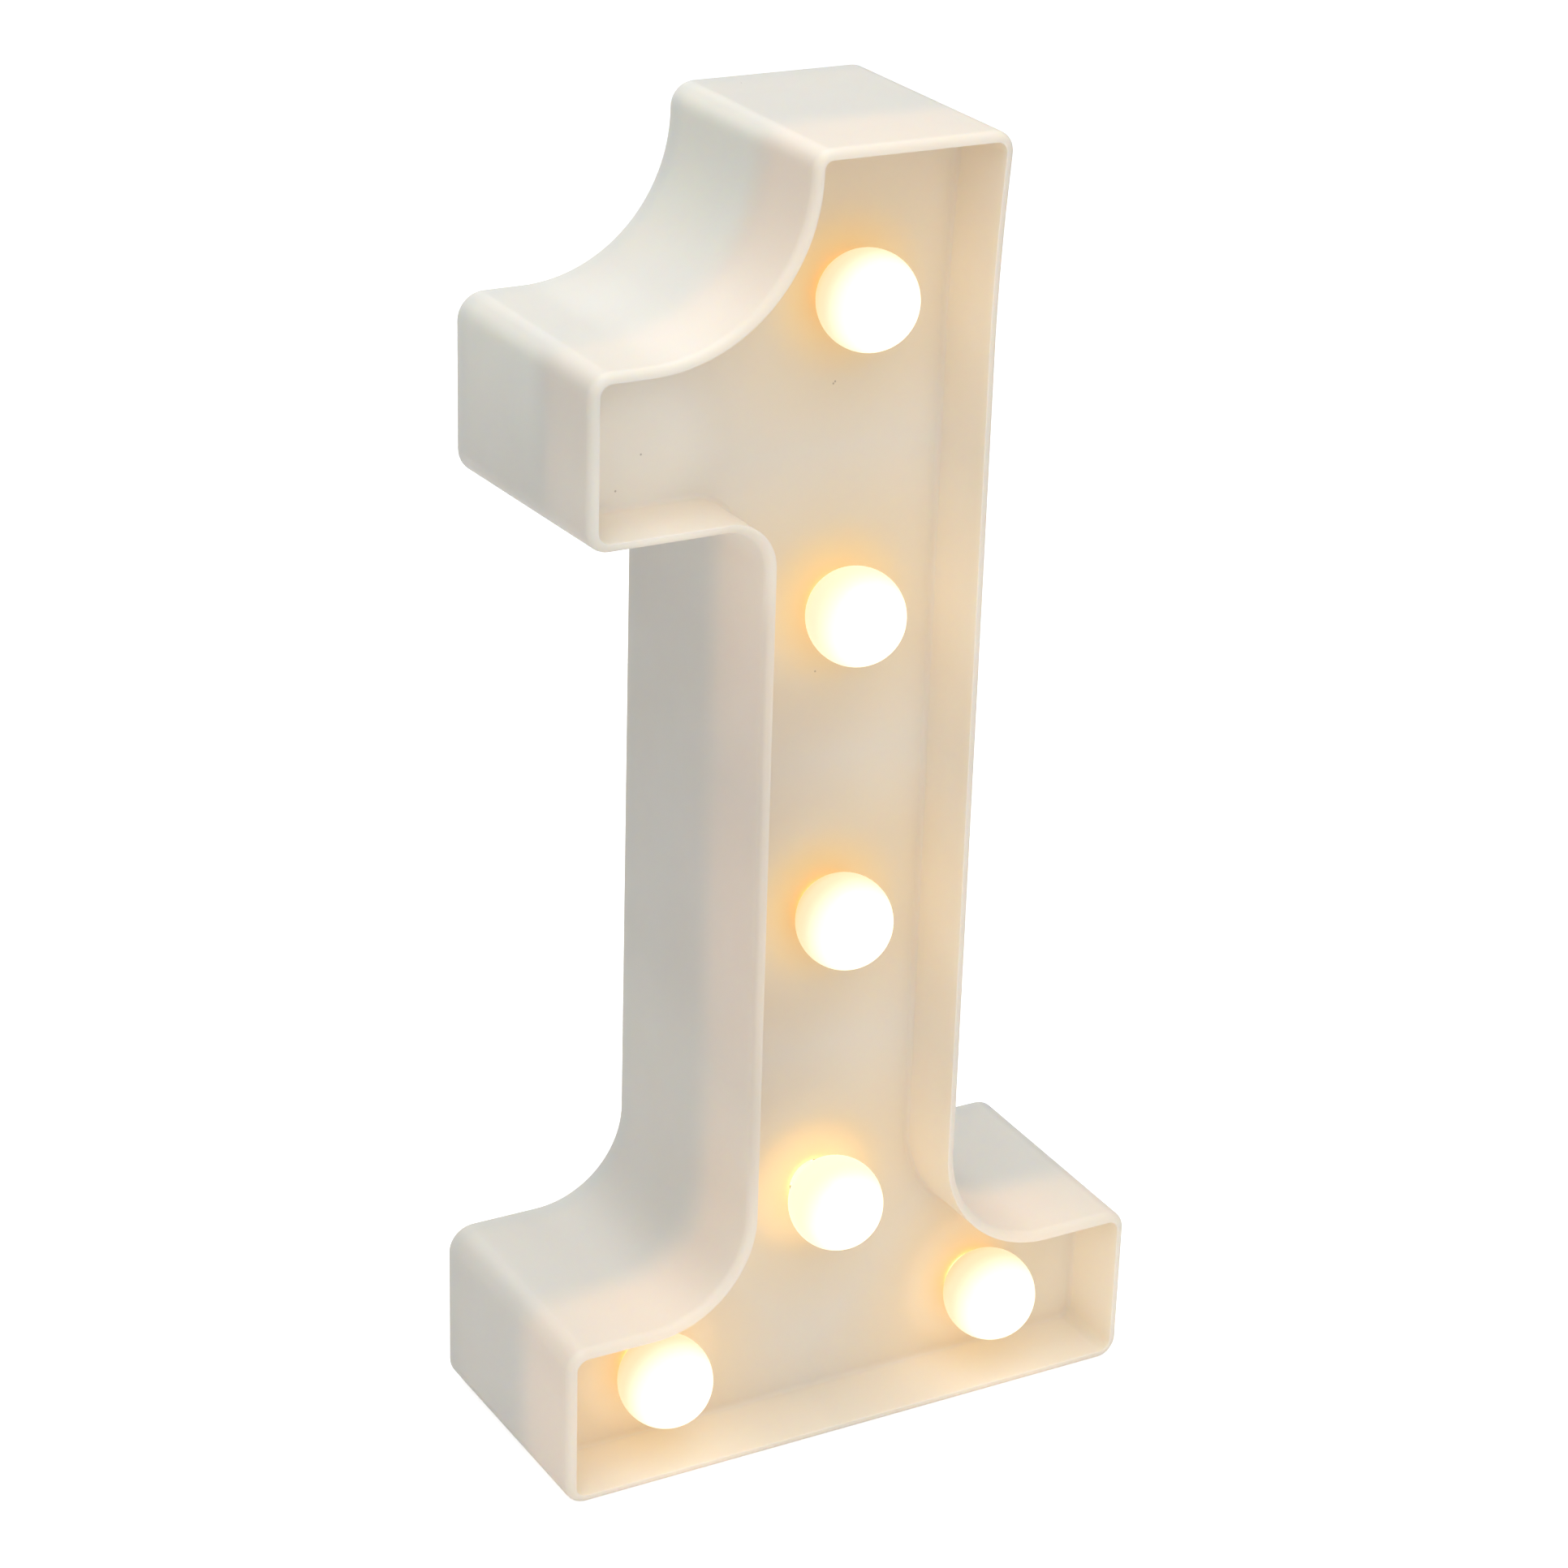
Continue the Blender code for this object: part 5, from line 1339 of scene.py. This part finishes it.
insulations = {
    "red_lead": insulation("red_pvc", (0.56, 0.035, 0.025), (0.42, 0.03, 0.02)),
    "black_lead": insulation("black_pvc", (0.02, 0.02, 0.02), (0.045, 0.045, 0.045))}
climb = upper_z + lead_hump + lead_step
hop_y = run_y + lead_step + lead_radius
back_of_board = board_face - board_thickness - fit_gap - lead_radius
board_foot = board_z - board_tall / 2
tail_z = well_high + well_wall + tail_reach + fit_gap
pin_gap = pin_end - fit_gap - lead_radius
pin_left = switch_x - pin_pitch
joint_y = run_y + lead_step
rise = board_z + board_tall / 2 + lead_tail / 2
routes = {
    "base_lead_positive": ("red_lead", [(lamp_places[4].x - lead_tail, run_y, upper_z),
                                        (lamp_places[5].x + lead_tail, run_y, upper_z)]),
    "base_lead_negative": ("black_lead", [(lamp_places[4].x - lead_tail, run_y, lower_z),
                                          (lamp_places[5].x + lead_tail, run_y, lower_z)]),
    "stem_lead_positive": ("red_lead", [(stem_x - lead_reach, run_y, top_z),
                                        (stem_x - lead_reach, run_y, upper_z + lead_step)]),
    "stem_lead_negative": ("black_lead", [(stem_x + lead_reach, run_y, top_z)] + smooth_route([
        (stem_x + lead_reach, run_y, climb + 2 * lead_hump),
        (stem_x + lead_reach, run_y, climb + lead_hump),
        (stem_x + lead_reach, hop_y, upper_z + lead_step / 2),
        (stem_x + lead_reach, hop_y, upper_z - lead_step / 2),
        (stem_x + lead_reach, run_y, lower_z + lead_step)])),
    "battery_lead_positive": ("red_lead", smooth_route([
        (left_cell, cell_y, tail_z), (left_cell, cell_y, tail_z + lead_tail),
        (pin_left - lead_tail / 2, (cell_y + pin_gap) / 2, switch_z - lead_tail),
        (pin_left, pin_gap, switch_z)])),
    "switch_lead": ("red_lead", smooth_route([
        (switch_x, pin_gap, switch_z), (switch_x - lead_tail, pin_gap, switch_z + 2 * lead_tail),
        (board_x + board_half / 2, back_of_board, board_foot - lead_tail),
        (board_x + board_half / 2, back_of_board, board_foot + lead_tail / 2)])),
    "battery_lead_negative": ("black_lead", smooth_route([
        (right_cell, cell_y, tail_z), (right_cell, cell_y, tail_z + lead_tail),
        (right_cell, cell_y, switch_z + lead_tail),
        (stem_x + lead_tail / 2, (cell_y + back_of_board) / 2, (switch_z + board_foot) / 2),
        (stem_x, back_of_board, board_foot - lead_tail),
        (board_x + board_half - lead_tail / 2, back_of_board, board_foot + lead_tail / 2)])),
}
for name, slot, side, stop in (("feed_lead_positive", "red_lead", -1, -board_half / 2),
                               ("feed_lead_negative", "black_lead", 1, 0)):
    start_x, lead_x = board_x + stop, stem_x + side * lead_reach
    routes[name] = (slot, smooth_route([
        (start_x, back_of_board, board_z + board_tall / 2 - lead_tail / 2),
        (start_x, back_of_board, rise),
        ((start_x + lead_x) / 2, (joint_y + back_of_board) / 2, rise + side * lead_tail / 4),
        (lead_x, joint_y, rise - lead_tail), (lead_x, joint_y, rise - 2 * lead_tail)]))
for name, (slot, points) in routes.items():
    hand_over(wire(f"wire_{name}", points, lead_radius), "housing", slot, insulations[slot], name)

# Studio. A wide pale floor, made white for the camera alone, a broad soft light overhead,
# weaker ones above the camera's shoulder, at the left, in front and behind, and a white
# surround.
floor_size, floor_white, floor_roughness, floor_lift = 6, (0.88, 0.88, 0.88), 0.6, 0.68
light_size, light_target = 0.8, Vector((0, 0, 0.1))
surround_light, surround_seen = 0.32, 1.05

bpy.ops.mesh.primitive_plane_add(size=floor_size)
ground = bpy.context.object
ground.name = "studio_floor"
ground_material, tree, shader = blank_material("pale_floor", floor_white, floor_roughness)
path = tree.nodes.new("ShaderNodeLightPath").outputs
feed(tree, shader, Emission_Color=(1, 1, 1),
     Emission_Strength=product(tree, path["Is Camera Ray"], floor_lift))
ground.data.materials.append(ground_material)

for name, place, power in (("overhead", (0.0, 0.05, 1.15), 4.75),
                           ("over_the_shoulder", (0.0, -0.55, 1.00), 2.35),
                           ("left", (-0.75, -0.55, 0.85), 1.8),
                           ("front", (-0.05, -1.10, 0.50), 2.1),
                           ("behind", (0.0, 0.85, 0.75), 1.6)):
    soft_light = bpy.data.lights.new(name, "AREA")
    soft_light.size, soft_light.energy = light_size, power
    lamp = bpy.data.objects.new(name, soft_light)
    bpy.context.scene.collection.objects.link(lamp)
    lamp.location = place
    lamp.rotation_mode = "QUATERNION"
    lamp.rotation_quaternion = (light_target - Vector(place)).to_track_quat("-Z", "Y")

world = bpy.data.worlds.new("white_surround")
bpy.context.scene.world = world
world.use_nodes = True
tree = world.node_tree
path = tree.nodes.new("ShaderNodeLightPath").outputs
feed(tree, tree.nodes["Background"], Color=(1, 1, 1),
     Strength=ramped(tree, path["Is Camera Ray"], 0.0, 1.0, surround_light, surround_seen))

# Camera. It stands where the photograph was taken: left of the digit and a little above
# it. Its focal length is the one fitted to the photograph, in pixels of its frame.
frame_pixels, focal_pixels, sensor_width = 1932, 4802.24, 36
camera_place = Vector((-0.29132, -0.50099, 0.35849))
yaw, pitch, roll = math.radians(29.759), math.radians(-23.218), math.radians(1.782)

camera_data = bpy.data.cameras.new("camera")
camera_data.sensor_width = sensor_width
camera_data.lens = focal_pixels / frame_pixels * sensor_width
camera = bpy.data.objects.new("camera", camera_data)
bpy.context.scene.collection.objects.link(camera)
ahead = Vector((math.sin(yaw) * math.cos(pitch), math.cos(yaw) * math.cos(pitch), math.sin(pitch)))
across = Vector((math.cos(yaw), -math.sin(yaw), 0))
up = across.cross(ahead)
right = across * math.cos(roll) + up * math.sin(roll)
top = up * math.cos(roll) - across * math.sin(roll)
turn = Matrix((right, top, -ahead)).transposed()
camera.matrix_world = Matrix.Translation(camera_place) @ turn.to_4x4()
bpy.context.scene.camera = camera
bpy.context.scene.view_settings.view_transform = "Standard"
